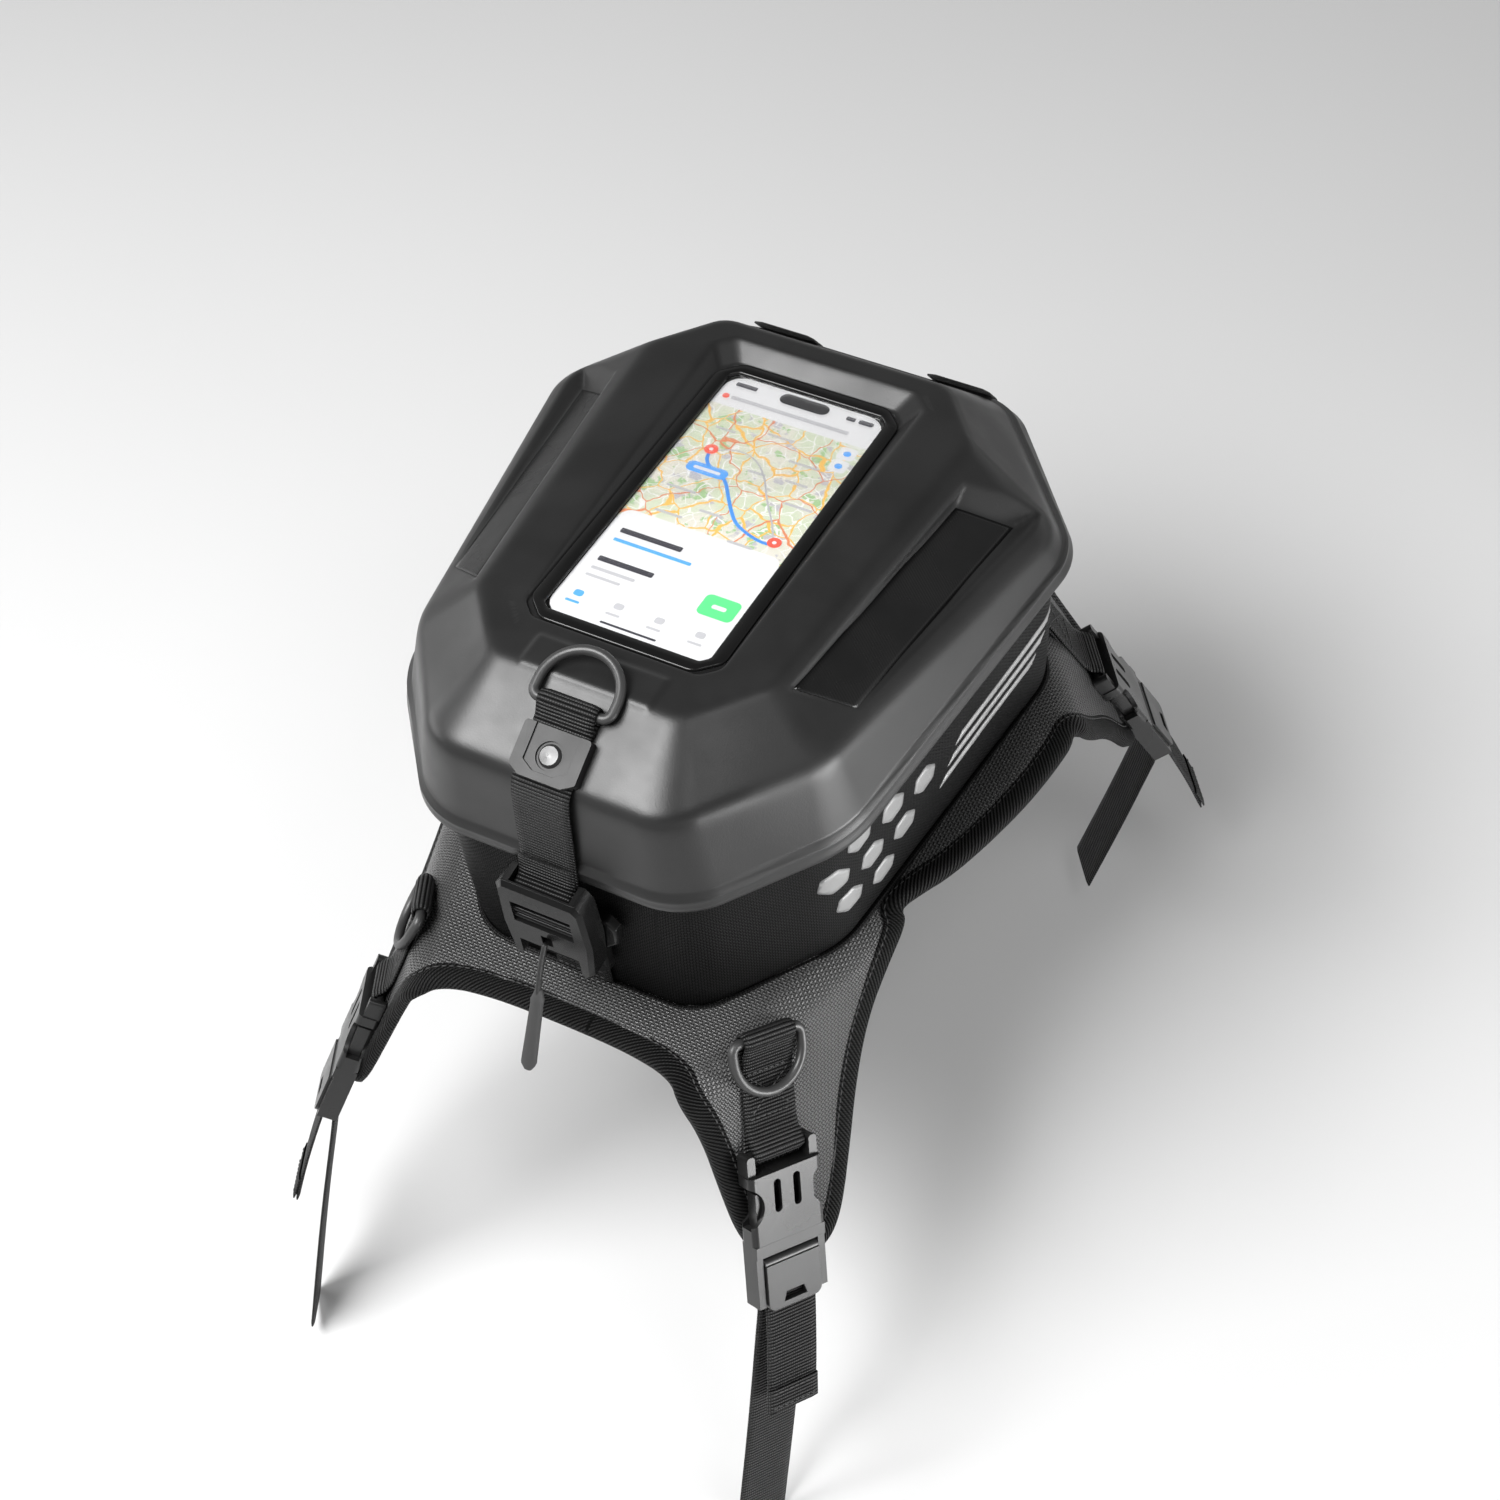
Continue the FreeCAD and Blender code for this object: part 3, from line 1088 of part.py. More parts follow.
def make_hinge_tabs():
    """Webbing hinge: one leaf on the body, one on the lid, on a common fold line."""
    thick = size("hinge_tab_thickness")
    out = size("hinge_out")
    level = size("hinge_level")
    top_z = size("brow_level") - size("brow_bars") * math.tan(math.radians(size("brow_tilt")))
    wall_top = (size("brow_bars"), top_z)
    wall_low = (size("rim_bars"), size("rim_level"))
    rise = V(0, wall_top[0] - wall_low[0], wall_top[1] - wall_low[1]).normalize()
    outward = V(0, rise.z, -rise.y)
    a = V(0, wall_low[0], wall_low[1]) + outward * 0.2 + rise * 0.6
    b = a + rise * size("hinge_lid_leaf")
    lid_leaf = [a, b, b + outward * thick, a + outward * thick]
    body_top = V(0, out - 1.6, level - 1.0)
    side_y = size("floor_bars") + 0.1
    body_low = V(0, side_y, size("hinge_body_foot"))
    knee = V(0, side_y, size("hinge_body_knee"))
    body_leaf = [body_low, knee, body_top, body_top + V(0, thick * 0.7, -0.4),
                 knee + V(0, thick, -1.5), body_low + V(0, thick, 0)]
    for side, hand in ((1, "right"), (-1, "left")):
        for part, outline in (("lid", lid_leaf), ("body", body_leaf)):
            node = "hinge_tab_%s_%s" % (part, hand)
            leaf = Piece(node)
            profile = leaf.sketch("YZ_Plane")
            polygon(profile, [(p.y, p.z) for p in outline])
            leaf.pad(profile, "hinge_tab_width", symmetric=True)
            leaf.body.Placement = FreeCAD.Placement(
                V(side * size("hinge_tab_offset"), 0, 0), FreeCAD.Rotation())
            keep(node, leaf.body)


make_body()
make_lid()
make_window()
make_marks()
make_harness()
make_legs()
make_closure()
make_hinge_tabs()
doc.recompute()

bad = [o.Name for o in doc.Objects if "Invalid" in o.State or "Error" in o.State]
if bad:
    raise RuntimeError("failed objects: %s" % bad)
for node, solid in parts.items():
    if solid.Shape.isNull() or not solid.Shape.isValid():
        raise RuntimeError("bad shape: %s" % node)

os.makedirs("parts", exist_ok=True)
for node, solid in parts.items():
    solid.Shape.exportStep("parts/%s.step" % node)
print(len(parts), "sub-parts written")
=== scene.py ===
import math

import bmesh
import bpy
import numpy as np
from mathutils import Matrix, Vector
from mathutils.geometry import delaunay_2d_cdt


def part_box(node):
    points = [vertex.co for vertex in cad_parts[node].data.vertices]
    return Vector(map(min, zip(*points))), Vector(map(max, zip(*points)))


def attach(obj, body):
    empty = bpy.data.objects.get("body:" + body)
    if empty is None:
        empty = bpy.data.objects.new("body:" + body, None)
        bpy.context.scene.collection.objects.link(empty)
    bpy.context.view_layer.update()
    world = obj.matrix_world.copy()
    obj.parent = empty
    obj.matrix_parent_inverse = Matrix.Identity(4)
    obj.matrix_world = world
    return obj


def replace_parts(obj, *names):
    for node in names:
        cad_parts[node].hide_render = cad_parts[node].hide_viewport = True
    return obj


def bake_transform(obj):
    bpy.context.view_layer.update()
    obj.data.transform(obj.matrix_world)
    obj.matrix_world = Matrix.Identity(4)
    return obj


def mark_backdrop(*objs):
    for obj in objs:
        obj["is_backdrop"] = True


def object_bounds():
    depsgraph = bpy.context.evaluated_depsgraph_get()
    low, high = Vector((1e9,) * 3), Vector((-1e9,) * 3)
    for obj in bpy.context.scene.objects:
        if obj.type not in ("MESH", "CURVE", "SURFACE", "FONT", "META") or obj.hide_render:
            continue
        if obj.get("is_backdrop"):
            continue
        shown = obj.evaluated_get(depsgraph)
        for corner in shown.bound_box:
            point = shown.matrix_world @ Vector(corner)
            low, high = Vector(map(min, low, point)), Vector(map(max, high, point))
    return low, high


# Motorcycle tank bag.  Lengths are written in millimetres and turned into metres
# when a mesh is made.  +Y points to the handlebars, +X to the rider's right.

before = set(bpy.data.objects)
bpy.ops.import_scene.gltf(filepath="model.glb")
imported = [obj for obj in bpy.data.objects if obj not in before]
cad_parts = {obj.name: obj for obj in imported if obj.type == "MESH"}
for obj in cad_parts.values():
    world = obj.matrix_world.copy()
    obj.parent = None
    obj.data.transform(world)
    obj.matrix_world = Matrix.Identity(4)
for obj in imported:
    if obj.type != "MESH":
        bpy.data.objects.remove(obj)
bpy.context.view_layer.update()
MM = 0.001
RIGHT, LEFT = 1, -1
SIDES = ((RIGHT, "right"), (LEFT, "left"))

# webbing: distance between ribs, between mesh rows and between yarns, height of a rib
RIB_PITCH = 1.55
RIB_STEP = RIB_PITCH / 5
YARN_PITCH = 1.1
RIB_HEIGHT = 0.13
# one stitch: (share of its length, share of its thickness)
STITCH_PROFILE = ((0.0, 0.25), (0.18, 0.85), (0.5, 1.0), (0.82, 0.85), (1.0, 0.25))


# ------------------------------------------------------------------ node materials


class Nodes:
    """Short calls for building one node material."""

    def __init__(self, name):
        self.material = bpy.data.materials.new(name)
        self.material.use_nodes = True
        self.tree = self.material.node_tree
        self.tree.nodes.clear()
        self.out = self.tree.nodes.new("ShaderNodeOutputMaterial")

    def add(self, kind, settings=None, **inputs):
        """New shader node.  Inputs go by name, or by place as i0, i1 and so on."""
        node = self.tree.nodes.new("ShaderNode" + kind)
        for key, value in (settings or {}).items():
            setattr(node, key, value)
        for key, value in inputs.items():
            by_place = key[0] == "i" and key[1:].isdigit()
            slot = node.inputs[int(key[1:]) if by_place else key.replace("_", " ")]
            if isinstance(value, bpy.types.NodeSocket):
                self.tree.links.new(value, slot)
            else:
                slot.default_value = value
        return node

    def math(self, operation, a, b=0.0):
        return self.add("Math", {"operation": operation}, i0=a, i1=b).outputs[0]

    def times(self, a, b):
        return self.math("MULTIPLY", a, b)

    def plus(self, a, b):
        return self.math("ADD", a, b)

    def humps(self, value):
        """Row of rounded threads: the size of a sine."""
        return self.math("ABSOLUTE", self.math("SINE", value))

    def mix(self, factor, a, b):
        return self.add("Mix", {"data_type": "RGBA"}, i0=factor, i6=a, i7=b).outputs[2]

    def noise(self, where, scale, detail=2.0, rough=0.5):
        return self.add("TexNoise", None, Vector=where, Scale=scale, Detail=detail,
                        Roughness=rough).outputs["Fac"]

    def place(self, output="Object"):
        return self.add("TexCoord").outputs[output]

    def split(self, vector):
        return self.add("SeparateXYZ", None, Vector=vector).outputs

    def ramp(self, value, low, high, to_low=0.0, to_high=1.0):
        node = self.add("MapRange", {"interpolation_type": "SMOOTHSTEP"}, i0=value, i1=low,
                        i2=high, i3=to_low, i4=to_high)
        return node.outputs[0]

    def uneven(self, cloud, middle, spread=0.05):
        """Value that drifts about a middle as the cloud does."""
        return self.ramp(cloud, 0.3, 0.7, middle - spread, middle + spread)

    def raised(self, height, gleam):
        """Gleam on the tops of threads, dying out in the gaps."""
        return self.times(self.math("POWER", height, 1.5), gleam)

    def bump(self, height, strength, distance):
        return self.add("Bump", None, Height=height, Strength=strength,
                        Distance=distance).outputs[0]

    def finish(self, shader):
        self.tree.links.new(shader.outputs[0], self.out.inputs[0])
        return self.material

    def surface(self, **inputs):
        return self.finish(self.add("BsdfPrincipled", None, **inputs))


def grey(value):
    return (value, value, value, 1.0)


def moulded(name, value, rough, grain=900.0, strength=0.12, metallic=0.0, gleam=0.5):
    """Moulded foam, plastic or plated metal: fine grain, cloudy roughness, worn edges."""
    n = Nodes(name)
    where = n.place()
    cloud = n.noise(where, 35.0, 3.0)
    fine = n.noise(where, grain, 2.0, 0.6)
    edge = n.ramp(n.add("NewGeometry").outputs["Pointiness"], 0.52, 0.62)
    tone = n.mix(cloud, grey(value * 0.85), grey(value * 1.15))
    tone = n.mix(n.times(edge, 0.35), tone, grey(min(1.0, value * 2.2)))
    return n.surface(Base_Color=tone, Roughness=n.uneven(cloud, rough), Metallic=metallic,
                     Specular_IOR_Level=gleam, Normal=n.bump(fine, strength, 0.0004))


def woven(name, value, rough, pitch, strength=0.5, twill=False, sheen=0.0, gleam=0.5):
    """Cloth of crossing threads, drawn in the piece's own UV lengths (millimetres)."""
    n = Nodes(name)
    uv = n.split(n.place("UV"))
    across, down = [n.times(uv[i], math.pi / pitch) for i in (0, 1)]
    if twill:
        height = n.plus(n.times(n.humps(n.plus(across, down)), 0.8),
                        n.times(n.humps(n.times(down, 2.0)), 0.2))
    else:
        over = n.math("GREATER_THAN", n.times(n.math("SINE", across), n.math("SINE", down)), 0.0)
        height = n.plus(n.times(over, n.humps(across)),
                        n.times(n.math("SUBTRACT", 1.0, over), n.humps(down)))
    cloud = n.noise(n.place(), 22.0, 3.0)
    fuzz = n.noise(n.place(), 2200.0, 2.0)
    # painted light: thread tops are painted lighter as a highlight and the gaps between them darker
    # as shade; the cloud drifts the tone at random
    low = n.mix(cloud, grey(value * 0.35), grey(value * 0.5))
    high = n.mix(cloud, grey(value * 0.9), grey(value * 1.25))
    tone = n.mix(n.times(height, n.plus(fuzz, 0.45)), low, high)
    return n.surface(Base_Color=tone, Roughness=n.uneven(cloud, rough, 0.06),
                     Sheen_Weight=sheen, Sheen_Roughness=0.4,
                     Specular_IOR_Level=n.raised(height, gleam),
                     Normal=n.bump(height, strength, 0.0012 if twill else 0.0006))


def ribbed(name, value, rough, pitch, gleam):
    """Webbing: ribs across its length, crossed by fine yarns."""
    n = Nodes(name)
    uv = n.split(n.place("UV"))
    rib = n.humps(n.times(uv[1], math.pi / pitch))
    yarn = n.humps(n.times(uv[0], math.pi / YARN_PITCH))
    height = n.plus(n.times(n.math("POWER", rib, 0.6), 0.8), n.times(n.times(yarn, rib), 0.3))
    cloud = n.noise(n.place(), 30.0, 2.0)
    # painted light: rib tops are painted lighter as a highlight and the hollows between them darker
    # as shade, broken by a fine grain
    bright = n.times(height, n.plus(n.noise(n.place(), 2600.0, 2.0), 0.5))
    return n.surface(Base_Color=n.mix(bright, grey(value * 0.3), grey(value * 1.3)),
                     Roughness=n.uneven(cloud, rough), Specular_IOR_Level=n.raised(height, gleam),
                     Normal=n.bump(height, 0.9, 0.0007))


# name, tone, roughness, then the grain or the thread pitch and its strength
MAT = {
    "lid": moulded("lid_foam", 0.010, 0.39, 1400.0, 0.10),
    "body": woven("body_cloth", 0.0030, 0.55, 1.1, 0.35, gleam=0.25),
    "harness": woven("harness_cloth", 0.066, 0.36, 1.3, 1.0, gleam=1.0),
    "binding": woven("binding_twill", 0.011, 0.5, 2.0, 1.0, twill=True, gleam=0.25),
    "webbing": ribbed("webbing_ribbed", 0.010, 0.45, RIB_PITCH, gleam=0.45),
    "liner": woven("liner_cloth", 0.12, 0.8, 0.8, 0.3, sheen=0.3),
    "plastic": moulded("buckle_plastic", 0.010, 0.30, 1800.0, 0.02, gleam=0.55),
    "plate": moulded("keeper_plastic", 0.010, 0.40, 1800.0, 0.08, gleam=0.3),
    "clasp": moulded("clasp_plastic", 0.006, 0.25, 1800.0, 0.02, gleam=0.13),
    "metal": moulded("ring_metal", 0.05, 0.40, 900.0, 0.05, metallic=0.35),
    "gloss": moulded("window_border", 0.005, 0.24, 300.0, 0.01, gleam=0.35),
    "rubber": moulded("pad_rubber", 0.035, 0.7, 700.0, 0.3),
    "board": moulded("floor_board", 0.06, 0.6, 400.0, 0.2),
    "thread": moulded("stitch_thread", 0.05, 0.7, 4000.0, 0.4),
    "lining": moulded("lining_felt", 0.10, 0.85, 2500.0, 0.3),
    "cord": moulded("cord_braid", 0.012, 0.5, 2500.0, 0.5),
    "rivet": moulded("rivet_metal", 0.07, 0.3, 900.0, 0.03, metallic=0.6),
}


# ------------------------------------------------------------------ mesh helpers


def make(name, points, faces, surface, uv=None):
    """Mesh object from points in millimetres; uv is per point, in millimetres."""
    mesh = bpy.data.meshes.new(name)
    mesh.from_pydata([tuple(p) for p in np.asarray(points, float) * MM], [],
                     [tuple(int(i) for i in f) for f in faces])
    if uv is not None:
        layer = mesh.uv_layers.new(name="UVMap")
        index = np.zeros(len(mesh.loops), np.int32)
        mesh.loops.foreach_get("vertex_index", index)
        layer.data.foreach_set("uv", np.asarray(uv, np.float32)[index].ravel())
    mesh.polygons.foreach_set("use_smooth", [True] * len(mesh.polygons))
    mesh.materials.append(MAT[surface] if isinstance(surface, str) else surface)
    mesh.update()
    obj = bpy.data.objects.new(name, mesh)
    bpy.context.scene.collection.objects.link(obj)
    return obj


def fit(obj, slot, body, *nodes):
    """Attach a finished piece to its body and hide the CAD nodes it stands for. The slot argument
    is not used.
    """
    if nodes:
        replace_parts(obj, *nodes)
    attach(obj, body)


def paint(obj, material):
    """Give a CAD node one material."""
    obj.data.materials.clear()
    obj.data.materials.append(material)
    obj.data.polygons.foreach_set("material_index", [0] * len(obj.data.polygons))


def dress(node, surface, width=0.5):
    """Round the sharp edges of a hard CAD node and give it a surface."""
    obj = bpy.data.objects[node]
    paint(obj, MAT[surface])
    if width:
        obj.modifiers.new("joined", "WELD").merge_threshold = 0.005 * MM
        flats = obj.modifiers.new("flats", "DECIMATE")
        flats.decimate_type = "DISSOLVE"
        flats.angle_limit = math.radians(0.3)
        bevel = obj.modifiers.new("edges", "BEVEL")
        bevel.width = width * MM
        bevel.segments = 3
        bevel.limit_method = "ANGLE"
        bevel.angle_limit = math.radians(35)
        obj.data.polygons.foreach_set("use_smooth", [True] * len(obj.data.polygons))
        obj.modifiers.new("shading", "WEIGHTED_NORMAL").keep_sharp = False


def grid_faces(rows, columns, closed=True, flip=False, looped=False):
    """Quads of a grid of points laid out row by row; a looped grid also joins its last
    row to its first."""
    faces = []
    for r in range(rows if looped else rows - 1):
        here, below = r * columns, (r + 1) % rows * columns
        for c in range(columns if closed else columns - 1):
            d = (c + 1) % columns
            quad = (here + c, here + d, below + d, below + c)
            faces.append(quad[::-1] if flip else quad)
    return faces


def capped(rows, both):
    """Faces of a lofted shape, with its last ring closed, or both its ends."""
    count, last = rows.shape[1], (len(rows) - 1) * rows.shape[1]
    faces = grid_faces(*rows.shape[:2], flip=True)
    faces.append(tuple(last + i for i in reversed(range(count))))
    if both:
        faces.append(tuple(range(count)))
    return faces


def loft(name, rows, faces, surface, uv=None):
    """Mesh from rows of points."""
    return make(name, np.asarray(rows).reshape(-1, 3), faces, surface, uv)


def face_outward(obj):
    """Turn all faces of a closed mesh outwards."""
    work = bmesh.new()
    work.from_mesh(obj.data)
    bmesh.ops.recalc_face_normals(work, faces=work.faces)
    work.to_mesh(obj.data)
    work.free()


def apply_modifiers(obj):
    """Bake an object's modifiers into its mesh."""
    graph = bpy.context.evaluated_depsgraph_get()
    baked = bpy.data.meshes.new_from_object(obj.evaluated_get(graph))
    obj.modifiers.clear()
    obj.data = baked


def thicken(obj, thickness, offset=-1.0):
    """Give a skin its wall, inwards unless the offset is 1."""
    wall = obj.modifiers.new("wall", "SOLIDIFY")
    wall.thickness = thickness * MM
    wall.offset = offset
    apply_modifiers(obj)


def refine(obj):
    """One round of smooth subdivision."""
    finer = obj.modifiers.new("finer", "SUBSURF")
    finer.levels = finer.render_levels = 1
    apply_modifiers(obj)


CLOTH_RULES = {"quality": 6, "mass": 0.3, "tension_stiffness": 12.0,
               "compression_stiffness": 12.0, "shear_stiffness": 7.2,
               "bending_stiffness": 0.6, "use_pressure": True}


def settle(obj, pinned, pressure, cap, frames=8):
    """Let cloth take its shape under slight pressure, then keep the result.  No
    point moves further than cap (millimetres)."""
    before = np.zeros(len(obj.data.vertices) * 3)
    obj.data.vertices.foreach_get("co", before)
    group = obj.vertex_groups.new(name="held")
    group.add([int(i) for i in pinned], 1.0, "REPLACE")
    cloth = obj.modifiers.new("cloth", "CLOTH")
    for key, value in CLOTH_RULES.items():
        setattr(cloth.settings, key, value)
    cloth.settings.uniform_pressure_force = pressure
    cloth.settings.vertex_group_mass = "held"
    cloth.settings.effector_weights.gravity = 0.0
    cloth.collision_settings.use_collision = False
    cloth.point_cache.frame_start = 1
    cloth.point_cache.frame_end = frames
    scene = bpy.context.scene
    for number in range(1, frames + 1):
        scene.frame_set(number)
        bpy.context.view_layer.update()
    shaped = obj.evaluated_get(bpy.context.evaluated_depsgraph_get())
    after = np.zeros(len(shaped.data.vertices) * 3)
    shaped.data.vertices.foreach_get("co", after)
    obj.modifiers.clear()
    scene.frame_set(1)
    shift = (after - before).reshape(-1, 3)
    length = np.linalg.norm(shift, axis=1)
    limit = cap * MM
    scale = np.where(length > 1e-9, limit * np.tanh(length / limit) / np.maximum(length, 1e-9), 0)
    obj.data.vertices.foreach_set("co", (before.reshape(-1, 3) + shift * scale[:, None]).ravel())
    obj.data.update()


# ------------------------------------------------------------------ paths and frames


def unit(vectors):
    """One vector, or rows of them, at length one."""
    return vectors / np.linalg.norm(vectors, axis=-1, keepdims=True)


def run_of(path):
    """Length along a path up to each of its points."""
    return np.concatenate([[0], np.cumsum(np.linalg.norm(np.diff(path, axis=0), axis=1))])


def flat_at(line, level):
    """Plan outline at one level."""
    return np.column_stack([line, np.full(len(line), level)])


def around(line):
    """Direction along a closed line at each of its points."""
    return np.roll(line, -1, 0) - np.roll(line, 1, 0)


def inset(line, amount):
    """Closed outline moved inwards."""
    tangent = around(line)
    return line - unit(np.column_stack([tangent[:, 1], -tangent[:, 0]])) * amount


def circle(sides):
    """Points of a unit circle."""
    turn = np.linspace(0, 2 * math.pi, sides, endpoint=False)
    return np.column_stack([np.cos(turn), np.sin(turn)])


def squared(ring, power):
    """Circle pushed towards a square with rounded corners."""
    return np.sign(ring) * np.abs(ring) ** power


def arc(cx, cz, radius, first, last):
    """Points round a bar seen from its end, from one angle to another."""
    turn = np.radians(np.linspace(first, last, 12))
    return [(cx + radius * math.cos(a), cz + radius * math.sin(a)) for a in turn]


def resample(path, step, closed=False):
    """Even spacing along a path."""
    path = np.asarray(path, float)
    if closed:
        path = np.vstack([path, path[:1]])
    run = run_of(path)
    count = max(3, int(round(run[-1] / step)) + 1)
    where = np.linspace(0, run[-1], count)
    out = np.column_stack([np.interp(where, run, column) for column in path.T])
    return out[:-1] if closed else out


def rounded_path(points, rounds=3, closed=False):
    """Corner cutting, keeping the ends of an open path."""
    path = np.asarray(points, float)
    for _ in range(rounds):
        a, b = (path, np.roll(path, -1, 0)) if closed else (path[:-1], path[1:])
        cut = np.stack([a * 0.75 + b * 0.25, a * 0.25 + b * 0.75], 1)
        cut = cut.reshape(-1, path.shape[-1])
        path = cut if closed else np.vstack([path[:1], cut, path[-1:]])
    return path


def smoothstep(low, high, x):
    t = np.clip((np.asarray(x, float) - low) / (high - low), 0, 1)
    return t * t * (3 - 2 * t)


def ripple(points, scale, seed=0.0):
    """Smooth, repeatable unevenness between -1 and 1."""
    p = np.asarray(points, float) / scale
    a = np.sin(p[..., 0] * 1.7 + seed) * np.cos(p[..., 1] * 1.3 - seed * 0.7)
    b = np.sin(p[..., 1] * 2.3 + p[..., 2] * 1.9 + seed * 1.3)
    c = np.cos(p[..., 0] * 0.9 - p[..., 2] * 2.7 + seed * 2.1)
    return (a + b * 0.7 + c * 0.6) / 2.3


def rotation(degrees, axis):
    return Matrix.Rotation(math.radians(degrees), 4, axis)


def matrix_of(axes, origin):
    """Frame from its three axes and its origin."""
    place = Matrix.Identity(4)
    for i, axis in enumerate(axes):
        for j in range(3):
            place[j][i] = axis[j]
    place.translation = Vector(origin)
    return place


def put(place, points):
    """Points of a frame, as seen from the bag."""
    return np.array([tuple(place @ Vector(p)) for p in points])


def way_of(place, way):
    """Direction in a frame, as seen from the bag."""
    return np.array(place.to_3x3() @ Vector(way))


# ------------------------------------------------------------------ tapes and stitches


def frames_along(path, up, closed):
    """Side and up at each point of a path."""
    tangent = unit(around(path) if closed else np.gradient(path, axis=0))
    side = np.cross(tangent, np.broadcast_to(np.asarray(up, float), path.shape))
    side /= np.maximum(np.linalg.norm(side, axis=1), 1e-9)[:, None]
    return side, np.cross(side, tangent)


def cloth_uv(section, path):
    """UV of a swept band: distance round its section, distance along its path."""
    return np.stack(np.broadcast_arrays(run_of(section)[None, :], run_of(path)[:, None]),
                    -1).reshape(-1, 2)


def sweep(name, path, section, surface, up=(0, 0, 1), closed=False):
    """Section (side, up) points carried along a path; caps on open ends."""
    path = np.asarray(path, float)
    section = np.asarray(section, float)
    side, top = frames_along(path, up, closed)
    if section.ndim == 2:
        section = np.broadcast_to(section, (len(path),) + section.shape)
    points = (path[:, None, :] + side[:, None, :] * section[:, :, 0:1]
              + top[:, None, :] * section[:, :, 1:2])
    rows, columns = points.shape[:2]
    faces = grid_faces(rows, columns, looped=closed)
    if not closed:
        faces.append(tuple(reversed(range(columns))))
        faces.append(tuple(range((rows - 1) * columns, rows * columns)))
    obj = loft(name, points, faces, surface, cloth_uv(section[0], path))
    face_outward(obj)
    return obj


def webbing(name, path, across, body, width=25.0, thickness=1.5, closed=False):
    """Woven ribbon along a path, its width along the given direction; ribs are
    raised in the mesh."""
    path = resample(path, RIB_STEP, closed)
    tangent = around(path) if closed else np.gradient(path, axis=0)
    up = unit(np.cross(tangent, unit(np.asarray(across, float))))
    rib = RIB_HEIGHT * np.abs(np.sin(np.arange(len(path)) * RIB_STEP * math.pi / RIB_PITCH))
    side = np.concatenate([np.linspace(-1, 1, 9), np.linspace(1, -1, 9)])
    top = np.concatenate([np.ones(9), -np.ones(9)])
    edge = np.abs(side) > 0.99
    section = np.zeros((len(path), len(side), 2))
    section[:, :, 0] = side * width / 2 - np.where(edge, np.sign(side) * 0.25, 0)
    lift = np.where(edge, 0.45, 1.0) * thickness / 2 + np.where(edge, 0.0, 1.0) * rib[:, None]
    section[:, :, 1] = top * lift
    strip = sweep(name, path, section, "webbing", up, closed)
    if body:
        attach(strip, body)
    return strip


def stitches(name, path, up, body, length=2.0, gap=0.7, radius=0.34):
    """Row of short raised stitches along a path on a surface."""
    path = np.asarray(path, float)
    up = np.broadcast_to(np.asarray(up, float), path.shape)
    run = run_of(path)

    def at(where, rows):
        return np.array([np.interp(where, run, rows[:, i]) for i in range(3)])

    ring = circle(6)
    points, faces = [], []
    for start in np.arange(gap / 2, run[-1] - length, length + gap):
        base = len(points)
        for share, swell in STITCH_PROFILE:
            s = start + share * length
            centre, lift = at(s, path), at(s, up)
            ahead = at(s + 0.2, path) - centre
            side = np.cross(ahead / max(np.linalg.norm(ahead), 1e-9), lift)
            points += [centre + (side * x + lift * y) * radius * swell for x, y in ring]
        faces += [tuple(base + i for i in f) for f in grid_faces(len(STITCH_PROFILE), len(ring))]
        faces.append(tuple(base + i for i in reversed(range(len(ring)))))
        faces.append(tuple(len(points) - len(ring) + i for i in range(len(ring))))
    fit(make(name, points, faces, "thread"), "binding_tape", body)


# ------------------------------------------------------------------ lid

# levels of the parting line, the brow and the plateau, and the slopes of the last two
PARTING, BROW_LEVEL, PLATEAU_LEVEL = 86, 115.4, 140.6
TAN_PLATEAU = math.tan(math.radians(6.0))
TAN_BROW = math.tan(math.radians(7.6))
# how far the lip stands out round the lid's bottom edge
LIP = 1.3
LID_WALL, BODY_WALL = 3.4, 3.0
# mesh points on each corner of an outline, and on the straight after each corner
ARC_POINTS, RUN_POINTS = 16, (44, 118, 44, 56, 44, 118, 44, 70)


def eight(rider, waist, shoulder, bars, radii):
    """Rounded eight-sided outline.  Corners are (half width, reach along Y); the
    result has the same count of points for any radii."""
    right = [(rider[0], -rider[1]), (waist[0], -waist[1]), shoulder, bars]
    corners = np.array(right + [(-x, y) for x, y in reversed(right)], float)
    count = len(corners)
    entry, leave, arcs = [], [], []
    for i, radius in enumerate(list(radii) + list(reversed(radii))):
        here = corners[i]
        a, b = unit(corners[i - 1] - here), unit(corners[(i + 1) % count] - here)
        half = math.acos(np.clip(a @ b, -1, 1)) / 2
        back = radius / math.tan(half)
        centre = here + (a + b) / np.linalg.norm(a + b) * radius / math.sin(half)
        p, q = here + a * back, here + b * back
        u, v = p - centre, q - centre
        turn = math.acos(np.clip(u @ v / (np.linalg.norm(u) * np.linalg.norm(v)), -1, 1))
        entry.append(p)
        leave.append(q)
        arcs.append([centre + (math.sin((1 - t) * turn) * u + math.sin(t * turn) * v)
                     / math.sin(turn) for t in np.linspace(0, 1, ARC_POINTS)])
    points = []
    for i in range(count):
        points.append(np.array(arcs[i]))
        start, end = leave[i], entry[(i + 1) % count]
        points.append(start + (end - start) * np.linspace(0, 1, RUN_POINTS[i] + 2)[1:-1, None])
    return np.concatenate(points)


RIM_LINE = eight((56, 138), (99, 84), (121, 78), (66, 143), (34, 48, 30, 24))
WINDOW = {"centre": 9.0, "level": 136.3, "tilt": 7.66, "half_width": 41.5, "half_length": 83.0}
WINDOW_PLACE = (Matrix.Translation((0, WINDOW["centre"], WINDOW["level"]))
                @ rotation(-WINDOW["tilt"], "X"))


def lifted(outline, level, slope):
    """Outline in plan put on a plane that sinks towards the bars."""
    return np.column_stack([outline, level - outline[:, 1] * slope])


def on_window(points, height=0.0):
    """Points (x, y) or (x, y, z) of the window's frame, in the bag's frame."""
    return np.array([tuple(WINDOW_PLACE @ Vector((p[0], p[1], p[2] if len(p) > 2 else height)))
                     for p in points])


